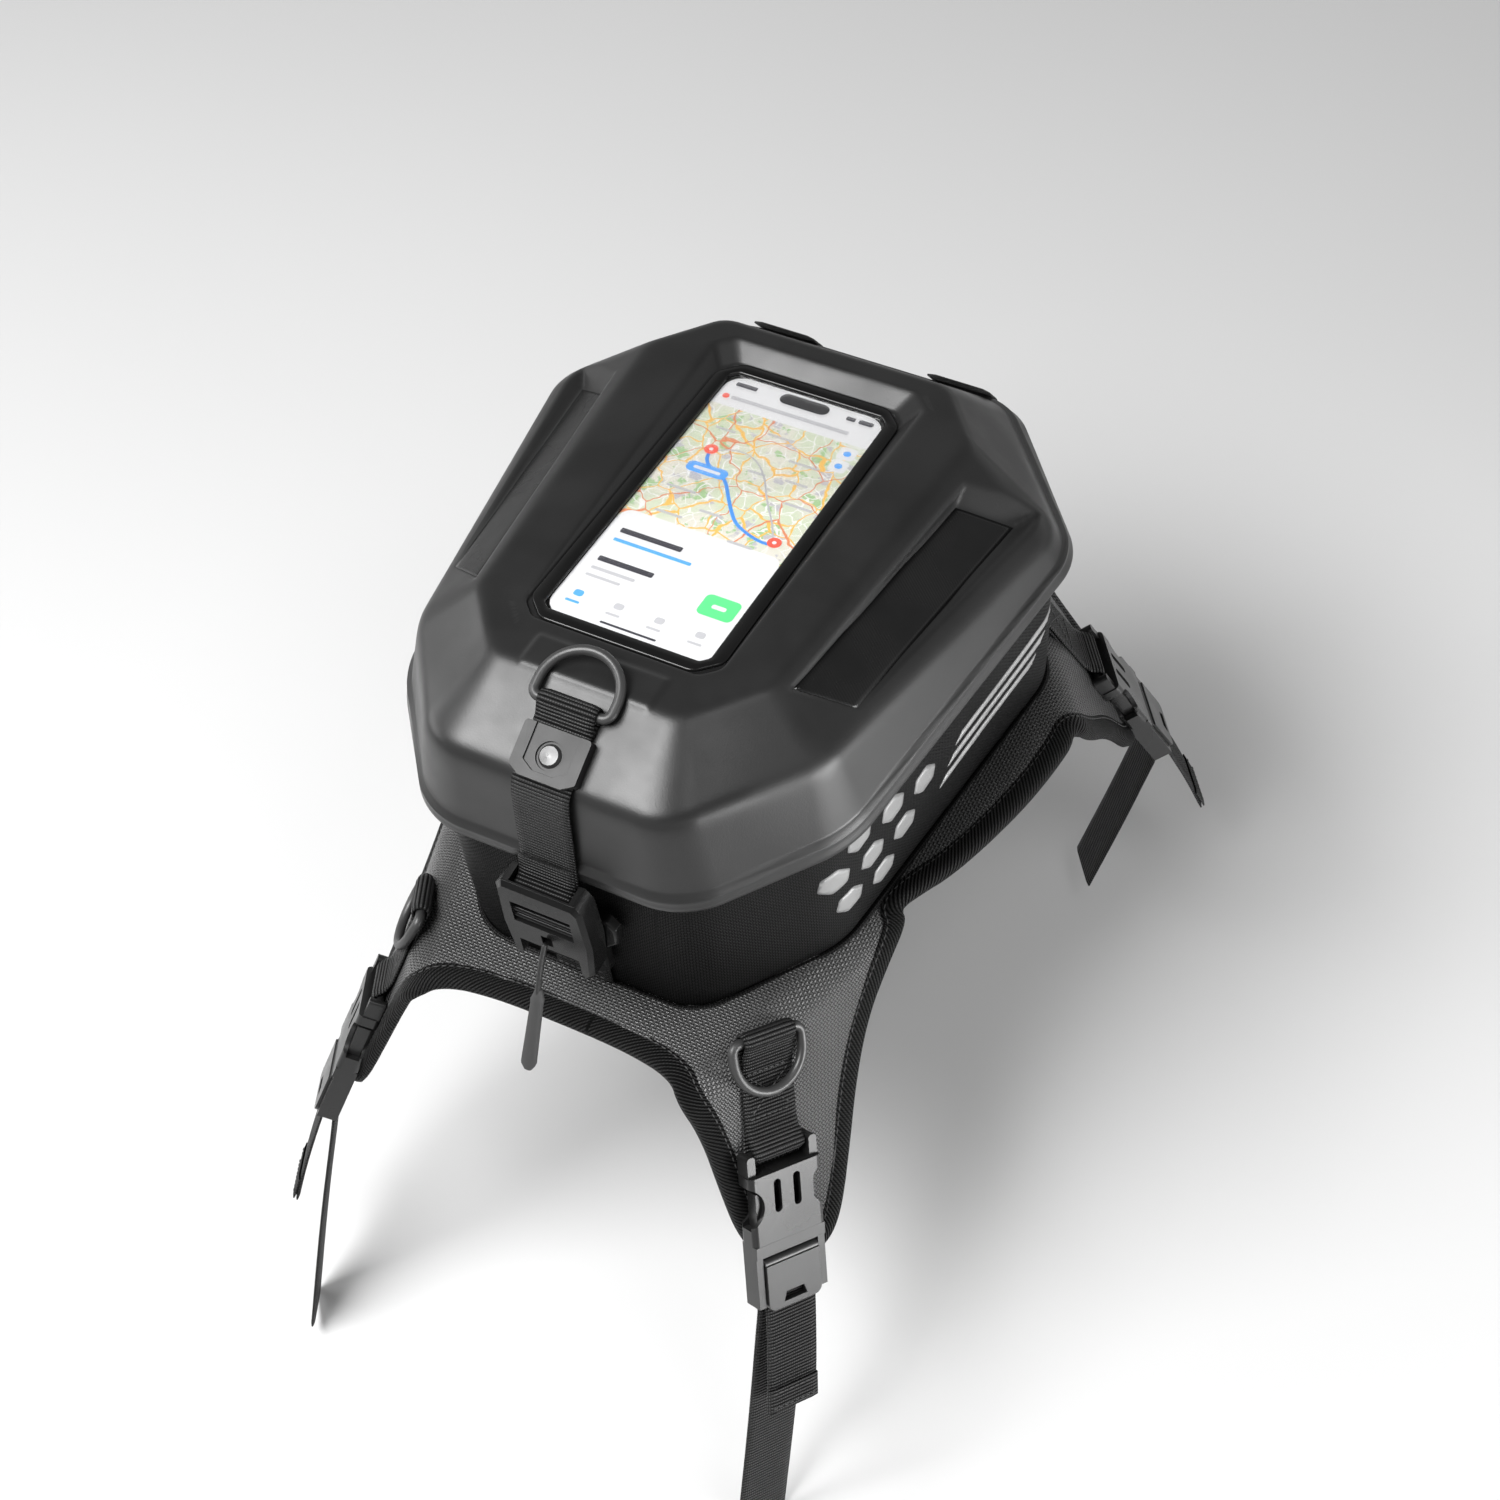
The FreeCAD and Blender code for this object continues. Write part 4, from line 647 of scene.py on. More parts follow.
def window_ring(grow_side, grow_bars, grow_rider, corner, height):
    """Outline round the window, grown by its own amount at the sides and each end."""
    half_width, half_length = WINDOW["half_width"], WINDOW["half_length"]
    rider_x, rider_y = half_width + grow_rider, half_length + grow_rider
    bars_x, bars_y = half_width + grow_side, half_length + grow_bars
    flat = eight((rider_x - corner, rider_y), (rider_x, rider_y - corner),
                 (bars_x, bars_y - corner), (bars_x - corner, bars_y), (corner * 0.9,) * 4)
    return on_window(flat, height)


def blend_rows(a, b, count, last=False):
    """Rows stepping from one outline to the next, which is left out unless asked for."""
    stops = np.linspace(0, 1, count + 1)
    return [a + (b - a) * t for t in (stops if last else stops[:-1])]


def soften_rows(rows, first, last, passes, weight=0.5):
    """Round the profile between two rows by averaging neighbours."""
    for _ in range(passes):
        inner = (rows[first - 1:last - 1] + rows[first + 1:last + 1]) * 0.5
        rows[first:last] = rows[first:last] * (1 - weight) + inner * weight
    return rows


def side_frame(side):
    """Centre and axes (along, across, out) of the lid's long side facet."""
    top_bars = np.array([73.4, 82, PLATEAU_LEVEL - 82 * TAN_PLATEAU])
    top_rider = np.array([63, -68, PLATEAU_LEVEL + 68 * TAN_PLATEAU])
    low_bars = np.array([114, 73, BROW_LEVEL - 73 * TAN_BROW])
    low_rider = np.array([89, -78, BROW_LEVEL + 78 * TAN_BROW])
    centre = (top_bars + top_rider + low_bars + low_rider) / 4
    run = unit(top_bars + low_bars - top_rider - low_rider)
    down = unit(low_bars + low_rider - top_bars - top_rider)
    out = unit(np.cross(down, run))
    flip = np.array([side, 1, 1])
    return centre * flip, run * flip, np.cross(run, out) * flip, out * flip


INLAY = {"half_length": 59.5, "half_width": 11.5, "slant": 7.5, "shallow": 0.5, "deep": 5.2,
         "side_slope": 1.2, "ramp_slope": 0.42, "end_slope": 0.8, "soft": 0.5}


def inlay_floor(along):
    """Depth of the strip's seat, growing towards the bars."""
    share = np.clip((along + INLAY["half_length"]) / (2 * INLAY["half_length"]), 0, 1.2)
    return -(INLAY["shallow"] + (INLAY["deep"] - INLAY["shallow"]) * share)


def cut_side_recess(points, side):
    """Sink the side facet into the wedge-shaped seat of the glossy strip."""
    centre, run, down, out = side_frame(side)
    local = points - centre
    u, v, w = local @ run, local @ down, local @ out
    along = u - v / INLAY["half_width"] * INLAY["slant"]
    rise = np.maximum.reduce([
        (v - INLAY["half_width"]) * INLAY["side_slope"],
        (-v - INLAY["half_width"]) * INLAY["side_slope"],
        (along - INLAY["half_length"]) * INLAY["ramp_slope"],
        (-along - INLAY["half_length"]) * INLAY["end_slope"], np.zeros_like(u)])
    near = (np.abs(v) < 40) & (np.abs(u) < 90) & (w > -12)
    gap = w - (inlay_floor(along) + rise)
    soft = INLAY["soft"]
    eased = np.where(gap > soft, gap, (gap + soft) ** 2 / (4 * soft))
    return points - np.where(near & (gap > -soft), eased, 0)[:, None] * out


def lid_rows():
    """All rows of the lid's outer skin, from the bottom edge to the window's hole."""
    rim = lifted(RIM_LINE, PARTING, 0)
    brow = lifted(eight((51, 132), (89, 78), (114, 73), (61, 136), (26, 34, 24, 20)),
                  BROW_LEVEL, TAN_BROW)
    plateau = lifted(eight((39, 96), (63, 68), (73.4, 82), (51.5, 109), (10, 14, 12, 12)),
                     PLATEAU_LEVEL, TAN_PLATEAU)
    foot = window_ring(0, 0, 0, 6, -0.3)
    top = window_ring(6.5, 9.0, 1.0, 7, 0)
    top[:, 2] = PLATEAU_LEVEL - top[:, 1] * TAN_PLATEAU
    hole = window_ring(-2.5, -2.5, -2.5, 5, -0.3)
    rows = blend_rows(rim, brow, 26)
    n_wall = len(rows)
    rows += blend_rows(brow, plateau, 34)
    n_facet = len(rows)
    rows += blend_rows(plateau, top, 16)
    n_top = len(rows)
    rows += blend_rows(top, foot, 9)
    rows = np.array(rows + blend_rows(foot, hole, 2, last=True))
    for first, last, passes in ((8, n_facet - 12, 14), (n_facet - 12, n_top - 2, 6),
                                (n_top - 3, n_top + 3, 2)):
        rows = soften_rows(rows, first, last, passes)
    tangent = around(rim)
    normal = unit(np.column_stack([tangent[:, 1], -tangent[:, 0], np.zeros(len(rim))]))
    for row in rows[:n_wall]:
        # lip round the bottom edge, with a bead at its top and a rounded foot
        rise = row[:, 2] - PARTING
        lip = LIP * (1 - smoothstep(7.6, 9.0, rise)) + 0.6 * np.exp(-((rise - 7.4) / 0.8) ** 2)
        lip -= LIP * (1 - smoothstep(0, 1.6, rise))
        row += normal * lip[:, None]
    return rows


def build_lid():
    rows = lid_rows()
    points = rows.reshape(-1, 3)
    for side in (RIGHT, LEFT):
        points = cut_side_recess(points, side)
    # low pad under the ring, on the rider's edge of the plateau
    pad = smoothstep(29, 26.5, np.abs(points[:, 0]))
    pad *= smoothstep(-98, -96, points[:, 1]) * smoothstep(-79.5, -82, points[:, 1])
    points[:, 2] += 0.9 * pad
    lid = make("lid_moulding", points, grid_faces(*rows.shape[:2]), "lid")
    thicken(lid, LID_WALL)
    fit(lid, "shell_eva", "lid", "lid_shell")


def build_inlays():
    n = Nodes("inlay_strip")
    uv = n.split(n.place("UV"))
    hatch = n.humps(n.times(n.plus(uv[0], uv[1]), 2.4))
    cloud = n.noise(n.place(), 40.0, 3.0)
    tone = n.mix(n.times(hatch, cloud), grey(0.004), grey(0.012))
    surface = n.surface(Base_Color=tone, Roughness=n.uneven(cloud, 0.26, 0.04),
                        Specular_IOR_Level=0.3, Normal=n.bump(hatch, 0.12, 0.0002))
    half_length, half_width = INLAY["half_length"], INLAY["half_width"]
    along = np.linspace(-half_length + 0.4, half_length - 0.4, 60)
    across = np.linspace(-half_width + 0.3, half_width - 0.3, 12)
    uv_rows = [(u, v) for v in across for u in along]
    for side, hand in SIDES:
        centre, run, down, out = side_frame(side)
        points = []
        for u, v in uv_rows:
            crown = 0.35 - 0.25 * (abs(v) / half_width) ** 6
            points.append(centre + run * (u + v / half_width * INLAY["slant"]) + down * v
                          + out * (inlay_floor(u) + crown))
        faces = grid_faces(len(across), len(along), closed=False, flip=side > 0)
        strip = make("inlay_strip_" + hand, points, faces, surface, uv_rows)
        thicken(strip, 0.6)
        fit(strip, "inlay_gloss", "lid", "side_inlay_" + hand)


# ------------------------------------------------------------------ phone window


def ring_rows(profile, half_width, half_length, corner):
    """Closed rows round the window: profile is (growth, height) pairs."""
    rows = []
    for grow, height in profile:
        r = max(1.0, corner + grow)
        w, l = half_width + grow, half_length + grow
        rows.append(on_window(eight((w - r, l), (w, l - r), (w, l - r), (w - r, l),
                                    (r * 0.8,) * 4), height))
    return np.array(rows)


def build_window():
    profile = [(0, -0.2), (0, 0.5), (-0.25, 0.9), (-0.7, 1.05), (-3, 1.1), (-5.2, 1.05),
               (-5.7, 0.85), (-6, 0.4), (-6, -0.5)]
    rows = ring_rows(profile, WINDOW["half_width"], WINDOW["half_length"], 9)
    border = loft("window_border", rows, grid_faces(*rows.shape[:2]), "gloss")
    fit(border, "frame_gloss", "lid", "window_frame")

    n = Nodes("window_film")
    edge = n.add("LayerWeight", None, Blend=0.25).outputs["Fresnel"]
    haze = n.noise(n.place(), 60.0, 2.0)
    clear = n.add("BsdfTransparent", None, Color=grey(0.97))
    shine = n.add("BsdfGlossy", None, Color=grey(1.0), Roughness=n.uneven(haze, 0.085, 0.035))
    paint(bpy.data.objects["window_film"],
          n.finish(n.add("MixShader", None, i0=n.times(edge, 0.35), i1=clear.outputs[0],
                         i2=shine.outputs[0])))


# half sizes of the lit screen, its level in the window's frame and the step of a layer
SCREEN_WIDE, SCREEN_LONG = 35.4, 77.0
SCREEN_LEVEL, LAYER_STEP = -1.15, 0.04
SCREEN_TINTS = {"white": (0.74, 0.74, 0.75), "blue": (0.10, 0.38, 0.90),
                "red": (0.86, 0.12, 0.08), "green": (0.12, 0.72, 0.25),
                "ink": (0.05, 0.05, 0.06), "mid": (0.48, 0.48, 0.50),
                "pale": (0.80, 0.80, 0.83), "black": (0.01, 0.01, 0.012)}


def screen_tint(name, colour, glow=0.22):
    """Lit screen colour with a faint unevenness."""
    n = Nodes("screen_" + name)
    cloud = n.noise(n.place(), 50.0, 2.0)
    dim = tuple(c * 0.93 for c in colour) + (1.0,)
    tone = n.mix(cloud, dim, tuple(colour) + (1.0,))
    return n.surface(Base_Color=tone, Roughness=0.25, Emission_Color=tone,
                     Emission_Strength=glow)


def map_material():
    """Pale map: fields, woods, town patches and a mesh of roads, all generic."""
    n = Nodes("screen_map")
    uv = n.place("UV")
    fields = n.noise(uv, 0.035, 3.0, 0.6)
    woods = n.noise(uv, 0.07, 4.0, 0.65)
    towns = n.noise(uv, 0.12, 3.0, 0.55)
    tone = n.mix(n.ramp(fields, 0.42, 0.58), (0.60, 0.66, 0.50, 1), (0.70, 0.68, 0.60, 1))
    tone = n.mix(n.ramp(woods, 0.56, 0.60), tone, (0.36, 0.54, 0.28, 1))
    tone = n.mix(n.ramp(towns, 0.58, 0.62), tone, (0.50, 0.49, 0.52, 1))
    for scale, width, colour in ((0.16, 0.035, (0.80, 0.80, 0.78, 1)),
                                 (0.07, 0.028, (0.85, 0.50, 0.12, 1)),
                                 (0.035, 0.012, (0.70, 0.25, 0.12, 1))):
        warp = n.add("TexNoise", None, Vector=uv, Scale=0.09, Detail=2.0).outputs["Color"]
        bent = n.add("VectorMath", {"operation": "MULTIPLY_ADD"}, i0=warp, i1=(9, 9, 0),
                     i2=uv).outputs[0]
        cell = n.add("TexVoronoi", {"feature": "DISTANCE_TO_EDGE"}, Vector=bent,
                     Scale=scale).outputs["Distance"]
        line = n.ramp(cell, width * 0.55, width, 1.0, 0.0)
        tone = n.mix(line, tone, colour)
    return n.surface(Base_Color=tone, Roughness=0.25, Emission_Color=tone, Emission_Strength=0.16)


class Picture:
    """Flat coloured shapes laid over one another.  Places are in millimetres from the
    screen's middle, +Y to the handlebars; a higher layer covers a lower one."""

    def __init__(self):
        self.shapes = []

    def put(self, kind, points, layer):
        self.shapes.append((kind, points, SCREEN_LEVEL + LAYER_STEP * layer))

    def bar(self, kind, x, y, w, h, r=0.6, layer=3):
        """Rectangle with rounded corners, from its lower left corner."""
        r = min(r, w / 2 - 0.01, h / 2 - 0.01)
        points = []
        for cx, cy, start in ((x + w - r, y + h - r, 0), (x + r, y + h - r, 90),
                              (x + r, y + r, 180), (x + w - r, y + r, 270)):
            for a in [math.radians(start + 90 * i / 5) for i in range(6)]:
                points.append((cx + r * math.cos(a), cy + r * math.sin(a)))
        self.put(kind, points, layer)

    def disc(self, kind, x, y, r, layer=4):
        turn = np.linspace(0, 2 * math.pi, 24, endpoint=False)
        self.put(kind, [(x + r * math.cos(t), y + r * math.sin(t)) for t in turn], layer)

    def line(self, kind, points, width, layer=4):
        path = rounded_path(points, 2)
        for p, q in zip(path[:-1], path[1:]):
            d = (q - p) / max(np.linalg.norm(q - p), 1e-6)
            s = np.array([-d[1], d[0]]) * width / 2
            self.put(kind, [tuple(v) for v in (p + s, p - s, q - s, q + s)], layer)
            self.disc(kind, q[0], q[1], width / 2, layer)


def draw_map(picture):
    """Top line, banner, and a route between two pins."""
    picture.bar("map", -SCREEN_WIDE, -20, 2 * SCREEN_WIDE, 78, 0.02, 1)
    picture.bar("white", -SCREEN_WIDE + 0.6, -24.5, 2 * SCREEN_WIDE - 1.2, 11, 5, 2)
    picture.bar("black", -11, 69.2, 22, 6.4, 3.2, 3)
    picture.bar("ink", -31, 71, 9.5, 2.4)
    picture.bar("ink", 19, 71, 4, 2.4)
    picture.bar("ink", 24.5, 71, 6.5, 2.6, 1.0)
    picture.bar("mid", -29, 62.6, 53, 2.2)
    picture.bar("red", -33, 62.2, 3, 3, 1.4)
    for y in (52, 44):
        picture.bar("white", 25.5, y - 3.4, 7.4, 7.4, 1.6, 3)
        picture.disc("blue", 29.2, y + 0.3, 1.6, 4)
    picture.line("blue", [(-21, 30), (-19.5, 24), (-13, 20), (-7, 17.5), (-2, 10), (3, 3),
                          (8, -3), (15, -6.5), (22, -8.5), (27, -8)], 1.5)
    picture.line("mid", [(-21, 30), (-12, 36), (-2, 34), (6, 26), (13, 14), (22, 2), (27, -8)],
                 0.8, 3)
    picture.bar("blue", -25.5, 16.6, 18, 6, 2.6, 5)
    picture.bar("white", -22.5, 18.7, 12, 1.7, 0.8, 6)
    for x, y in ((-21, 31.5), (27, -6.5)):
        picture.disc("red", x, y, 2.9, 6)
        picture.disc("white", x, y, 0.9, 7)
    for x, y, w in ((-5, 49, 12), (-26, 44, 9), (10, 38, 13), (14, 27, 10), (-2, 26, 8),
                    (20, 15, 12), (-27, 5, 13), (-8, -3, 10), (10, -14, 11), (-24, -10, 12)):
        picture.bar("mid", x, y, w, 1.4, 0.5, 3)


def draw_panel(picture):
    """Lower panel: title lines, time, button, row of travel modes."""
    picture.bar("ink", -30, -27, 27, 2.8)
    picture.bar("blue", -30, -32.2, 34, 1.8)
    picture.disc("pale", 29, -27.5, 2.6, 3)
    picture.bar("pale", -SCREEN_WIDE + 3, -37.6, 2 * SCREEN_WIDE - 6, 0.4, 0.1)
    picture.bar("ink", -30, -44.5, 24, 2.8)
    picture.bar("mid", -30, -49.5, 19, 1.7)
    picture.bar("mid", -30, -53.7, 15, 1.5)
    picture.bar("green", 17.5, -53.5, 15, 11.5, 2.4)
    picture.bar("white", 22, -48.9, 6, 2.2, 0.8, 4)
    for i, kind in enumerate(("blue", "mid", "mid", "mid")):
        x = -27 + 17.5 * i
        picture.bar(kind, x - 1.9, -65.2, 4, 3.4, 1.2)
        picture.bar(kind, x - 3, -69, 6, 1.3, 0.5)
    picture.bar("ink", -12, -74, 24, 1.1, 0.5)


def build_screen():
    """Lit picture on the phone: a generic route map above a plain white panel."""
    surfaces = {kind: screen_tint(kind, colour) for kind, colour in SCREEN_TINTS.items()}
    surfaces["map"] = map_material()
    picture = Picture()
    picture.bar("white", -SCREEN_WIDE, -SCREEN_LONG, 2 * SCREEN_WIDE, 2 * SCREEN_LONG, 8.5, 0)
    draw_map(picture)
    draw_panel(picture)
    points, faces, kinds, flat = [], [], [], []
    for kind, outline, height in picture.shapes:
        faces.append(tuple(range(len(points), len(points) + len(outline))))
        points += [(x, y, height) for x, y in outline]
        flat += outline
        kinds.append(kind)
    order = sorted(surfaces)
    screen = make("phone_screen", on_window(points), faces, surfaces[order[0]], flat)
    for kind in order[1:]:
        screen.data.materials.append(surfaces[kind])
    screen.data.polygons.foreach_set("material_index", [order.index(k) for k in kinds])
    fit(screen, "phone_glass", "lid")

    body = ring_rows([(-6, -8.6), (-1.5, -8.6), (-0.4, -8.2), (0, -7.2), (0, -2.4), (-0.4, -1.6),
                      (-1.4, -1.3), (-37, -1.3)], 37.8, 79.8, 9)
    case = loft("phone_case", body, grid_faces(*body.shape[:2]), "gloss")
    fit(case, "phone_glass", "lid", "phone")


# ------------------------------------------------------------------ bag body

FLOOR_LINE = eight((49, 133), (88, 80), (109, 76), (64, 136), (26, 40, 26, 22))
TOP_LINE = inset(RIM_LINE, 8.5)
BODY_LOW, BODY_TOP = 4.6, 85.6


def wall_point(share, level):
    """Ring of the body's wall: share 0..1 from floor to top."""
    return flat_at(FLOOR_LINE + (TOP_LINE - FLOOR_LINE) * share, level)


def build_body():
    levels = 21
    share = np.linspace(0, 1, levels)
    length = run_of(TOP_LINE)
    outward = np.column_stack([TOP_LINE - inset(TOP_LINE, 1.0), np.zeros(len(TOP_LINE))])
    belly = np.sin(math.pi * share) ** 0.8
    rows, uv = [], []
    for i, s in enumerate(share):
        level = BODY_LOW + (BODY_TOP - BODY_LOW) * s
        row = wall_point(s, level)
        if i == 0:
            row[:, :2] = inset(row[:, :2], 1.2)
        soft = 0.5 * ripple(row, 34.0, 1.0) * belly[i]
        rows.append(row + outward * (1.0 * belly[i] + soft)[:, None])
        uv += [(v, level) for v in length]
    count = len(TOP_LINE)
    body = loft("bag_wall", rows, grid_faces(levels, count), "body", uv)
    held = list(range(count)) + list(range((levels - 1) * count, levels * count))
    settle(body, held, 0.9, 2.2)
    refine(body)
    thicken(body, BODY_WALL)
    fit(body, "body_fabric", "bag", "bag_body")

    # floor, hidden under the liner, closes the shell
    flat = inset(FLOOR_LINE, 1.0)
    rows = np.array([flat_at(flat * k, 5.2) for k in (1, 0.95, 0.75, 0.5, 0.25, 0.02)])
    floor = loft("bag_floor", rows, grid_faces(*rows.shape[:2]), "body",
                 rows.reshape(-1, 3)[:, :2])
    thicken(floor, 1.5, 1.0)
    fit(floor, "body_fabric", "bag")

    # piped seam round the foot of the wall
    pipe = sweep("bag_foot_piping", flat_at(inset(FLOOR_LINE, -0.6), 5.6), circle(10) * 1.5,
                 "body", closed=True)
    fit(pipe, "binding_tape", "bag")


# ------------------------------------------------------------------ harness

BASE = 5.0
FOLD_RADIUS = 16.0
# fold: middle of the root.  facing, drop, lean: degrees in plan, down, and of the
# hardware.  anchor: (across, below) from the fold.  reach: ends of the root.
LEGS = {
    "rear": {"fold": (75.4, -135.3), "facing": -18.2, "drop": 63.3, "lean": -24.0,
             "anchor": (5.0, -2.0), "reach": (-50, 85)},
    "front": {"fold": (97.0, 100.0), "facing": 38.0, "drop": 64.0, "lean": -4.0,
              "anchor": (11.0, -6.0), "reach": (-55, 53)},
}
# outlines of the legs: (past the fold, along the fold)
LEG_SHAPE = {
    "rear": ((-1, -38), (20, -37), (45, -41), (68, -44), (84, -41), (95, -33), (101, -20),
             (100, -10), (92, 0), (72, 15), (48, 32), (29, 49), (17, 66), (6, 84), (-1, 85)),
    "front": ((-1, -55), (8, -53), (24, -46), (52, -28), (74, -22), (86, -12), (90, 4),
              (87, 20), (78, 28), (60, 33), (30, 40), (8, 50), (-1, 53)),
}
RIDER_EDGE = ((0, -157), (30, -157.5), (52, -161))
WAIST_EDGE = ((106, -42), (113, -28), (120, -8), (127, 18), (131, 46))
BARS_EDGE = ((58, 147), (0, 147))


def fold_point(leg, along, past):
    """Point of the flat pattern in plan, for a right-hand leg."""
    (x, y), f = LEGS[leg]["fold"], math.radians(LEGS[leg]["facing"])
    return (x - along * math.sin(f) + past * math.cos(f),
            y + along * math.cos(f) + past * math.sin(f))


def pattern_outline(step):
    """Outline of the whole panel laid flat, running anticlockwise."""
    right = list(RIDER_EDGE)
    right += [fold_point("rear", along, past) for past, along in LEG_SHAPE["rear"]]
    right += list(WAIST_EDGE)
    right += [fold_point("front", along, past) for past, along in LEG_SHAPE["front"]]
    right += list(BARS_EDGE)
    whole = right + [(-x, y) for x, y in reversed(right[1:-1])]
    return resample(rounded_path(whole, 3, closed=True), step, closed=True)


def fold_panel(flat, height):
    """Carry points of the flat pattern on to the folded panel.  Returns the points
    at a height above its outer face, and the face's normals there."""
    flat = np.asarray(flat, float)
    height = np.broadcast_to(np.asarray(height, float), flat.shape[:1])
    side = np.where(flat[:, 0] < 0, -1.0, 1.0)
    plan = np.column_stack([np.abs(flat[:, 0]), flat[:, 1]])
    place = flat_at(plan, BASE)
    normal = np.tile(np.array([0.0, 0.0, 1.0]), (len(plan), 1))
    for data in LEGS.values():
        low, high = data["reach"]
        f = math.radians(data["facing"])
        past_way = np.array([math.cos(f), math.sin(f)])
        along_way = np.array([-math.sin(f), math.cos(f)])
        offset = plan - np.array(data["fold"])
        past, along = offset @ past_way, offset @ along_way
        # the fold dies out beyond the two ends of the leg's root
        reach = smoothstep(low - 22, low + 4, along) * smoothstep(high + 22, high - 4, along)
        drop = math.radians(data["drop"]) * np.where(past > -20, reach, 0)
        half = FOLD_RADIUS * np.tan(np.maximum(drop, 1e-4) / 2)
        turned = np.clip((past + half) / (2 * half), 0, 1) * drop
        bent_x = np.where(past > half, past * np.cos(drop), -half + FOLD_RADIUS * np.sin(turned))
        bent_z = np.where(past > half, -past * np.sin(drop), -FOLD_RADIUS * (1 - np.cos(turned)))
        use = (past > -half) & (drop > 1e-3)
        line = np.array(data["fold"]) + along[:, None] * along_way + bent_x[:, None] * past_way
        place[use] = np.column_stack([line, BASE + bent_z])[use]
        normal[use] = np.column_stack([np.sin(turned)[:, None] * past_way, np.cos(turned)])[use]
    place[:, 0] *= side
    normal[:, 0] *= side
    return place + normal * height[:, None], normal


def inside(points, outline):
    """True for points within a closed outline."""
    x, y = points[:, 0][:, None], points[:, 1][:, None]
    ax, ay = outline[:, 0], outline[:, 1]
    bx, by = np.roll(ax, -1), np.roll(ay, -1)
    with np.errstate(divide="ignore", invalid="ignore"):
        hits = ((ay > y) != (by > y)) & (x < (bx - ax) * (y - ay) / (by - ay) + ax)
    return hits.sum(1) % 2 == 1


def distance_to(points, outline):
    """Shortest distance from each point to the points of an outline."""
    return np.min(np.linalg.norm(points[:, None] - outline[None], axis=2), axis=1)


def filled(outline, step, margin):
    """Triangles filling an outline, with evenly spread inner points."""
    lo, hi = outline.min(0), outline.max(0)
    xs, ys = np.arange(lo[0], hi[0], step), np.arange(lo[1], hi[1], step * 0.866)
    inner = np.array([(x + (step / 2 if j % 2 else 0), y) for j, y in enumerate(ys) for x in xs])
    inner = inner[inside(inner, outline)]
    inner = inner[distance_to(inner, outline[::2]) > margin]
    count = len(outline)
    edges = [(i, (i + 1) % count) for i in range(count)]
    result = delaunay_2d_cdt([Vector(p) for p in np.vstack([outline, inner])], edges, [], 1, 1e-6)
    return np.array([tuple(v) for v in result[0]]), [tuple(f) for f in result[2]]


def build_harness():
    outline = pattern_outline(4.0)
    flat, faces = filled(outline, 4.6, 3.0)
    away = distance_to(flat, outline)
    under_bag = inside(flat, inset(FLOOR_LINE, 4.0))
    rise = 0.5 + 1.1 * (1 - np.exp(-np.maximum(away - 7, 0) / 7.0))
    soft = ripple(flat_at(flat, 0.0), 26.0, 2.0) * 0.5
    top, _ = fold_panel(flat, np.where(under_bag, -0.6, rise + soft * smoothstep(6, 16, away)))
    low, _ = fold_panel(flat, -2.9)
    count = len(flat)
    faces += [tuple(reversed([i + count for i in f])) for f in faces]
    for a in range(len(outline)):
        b = (a + 1) % len(outline)
        faces.append((b, a, a + count, b + count))
    panel = make("harness_cloth", np.vstack([top, low]), faces, "harness", np.vstack([flat, flat]))
    held = [i for i in range(count) if away[i] < 0.05 or under_bag[i]]
    settle(panel, held + list(range(count, 2 * count)), 1.2, 1.5)
    refine(panel)
    fit(panel, "harness_fabric", "bag", "harness_panel")

    # twill tape folded over the edge: (depth inwards, height) round its section
    section = ((9.8, -0.2), (9.6, 1.0), (8.6, 1.35), (7.6, 1.15), (6.2, 1.75), (3.4, 1.95),
               (1.0, 1.5), (-0.3, 0.3), (-0.7, -1.4), (-0.3, -3.2), (1.4, -4.1), (5.0, -4.2),
               (8.8, -4.0), (9.8, -3.0))
    edge = pattern_outline(1.3)
    tangent = around(edge)
    for _ in range(6):
        tangent = (np.roll(tangent, 1, 0) + tangent * 2 + np.roll(tangent, -1, 0)) / 4
    tangent = unit(tangent)
    inward = np.column_stack([-tangent[:, 1], tangent[:, 0]])
    points = np.stack([fold_panel(edge + inward * depth, height)[0] for depth, height in section],
                      1)
    tape = loft("harness_edge_tape", points, grid_faces(*points.shape[:2], looped=True),
                "binding", cloth_uv(np.array(section), edge))
    face_outward(tape)
    fit(tape, "binding_tape", "bag", "harness_binding")
    line, up = fold_panel(edge + inward * 7.9, 1.3)
    stitches("harness_edge_stitches", line, up, "bag", 2.3, 1.0, 0.28)


# ------------------------------------------------------------------ hardware on the legs

# bars the webbing goes round: (down the leg, out of it)
RING_BAR, SOCKET_BAR, WRAP_BAR = (0.0, 3.9), (48.0, 4.6), (102.0, 4.6)
# levels of the two layers of a sewn loop
LOW_LAYER, HIGH_LAYER = 1.15, 2.75


def leg_frame(leg, side):
    """Frame of the hardware on a leg: X down the leg, Z out of it, in millimetres."""
    data = LEGS[leg]
    across, below = data["anchor"]
    return (Matrix.Translation((side * data["fold"][0], data["fold"][1], BASE))
            @ rotation(data["facing"] if side > 0 else 180 - data["facing"], "Z")
            @ rotation(data["drop"], "Y") @ Matrix.Translation((below, side * across, 0))
            @ rotation(side * data["lean"], "Z"))


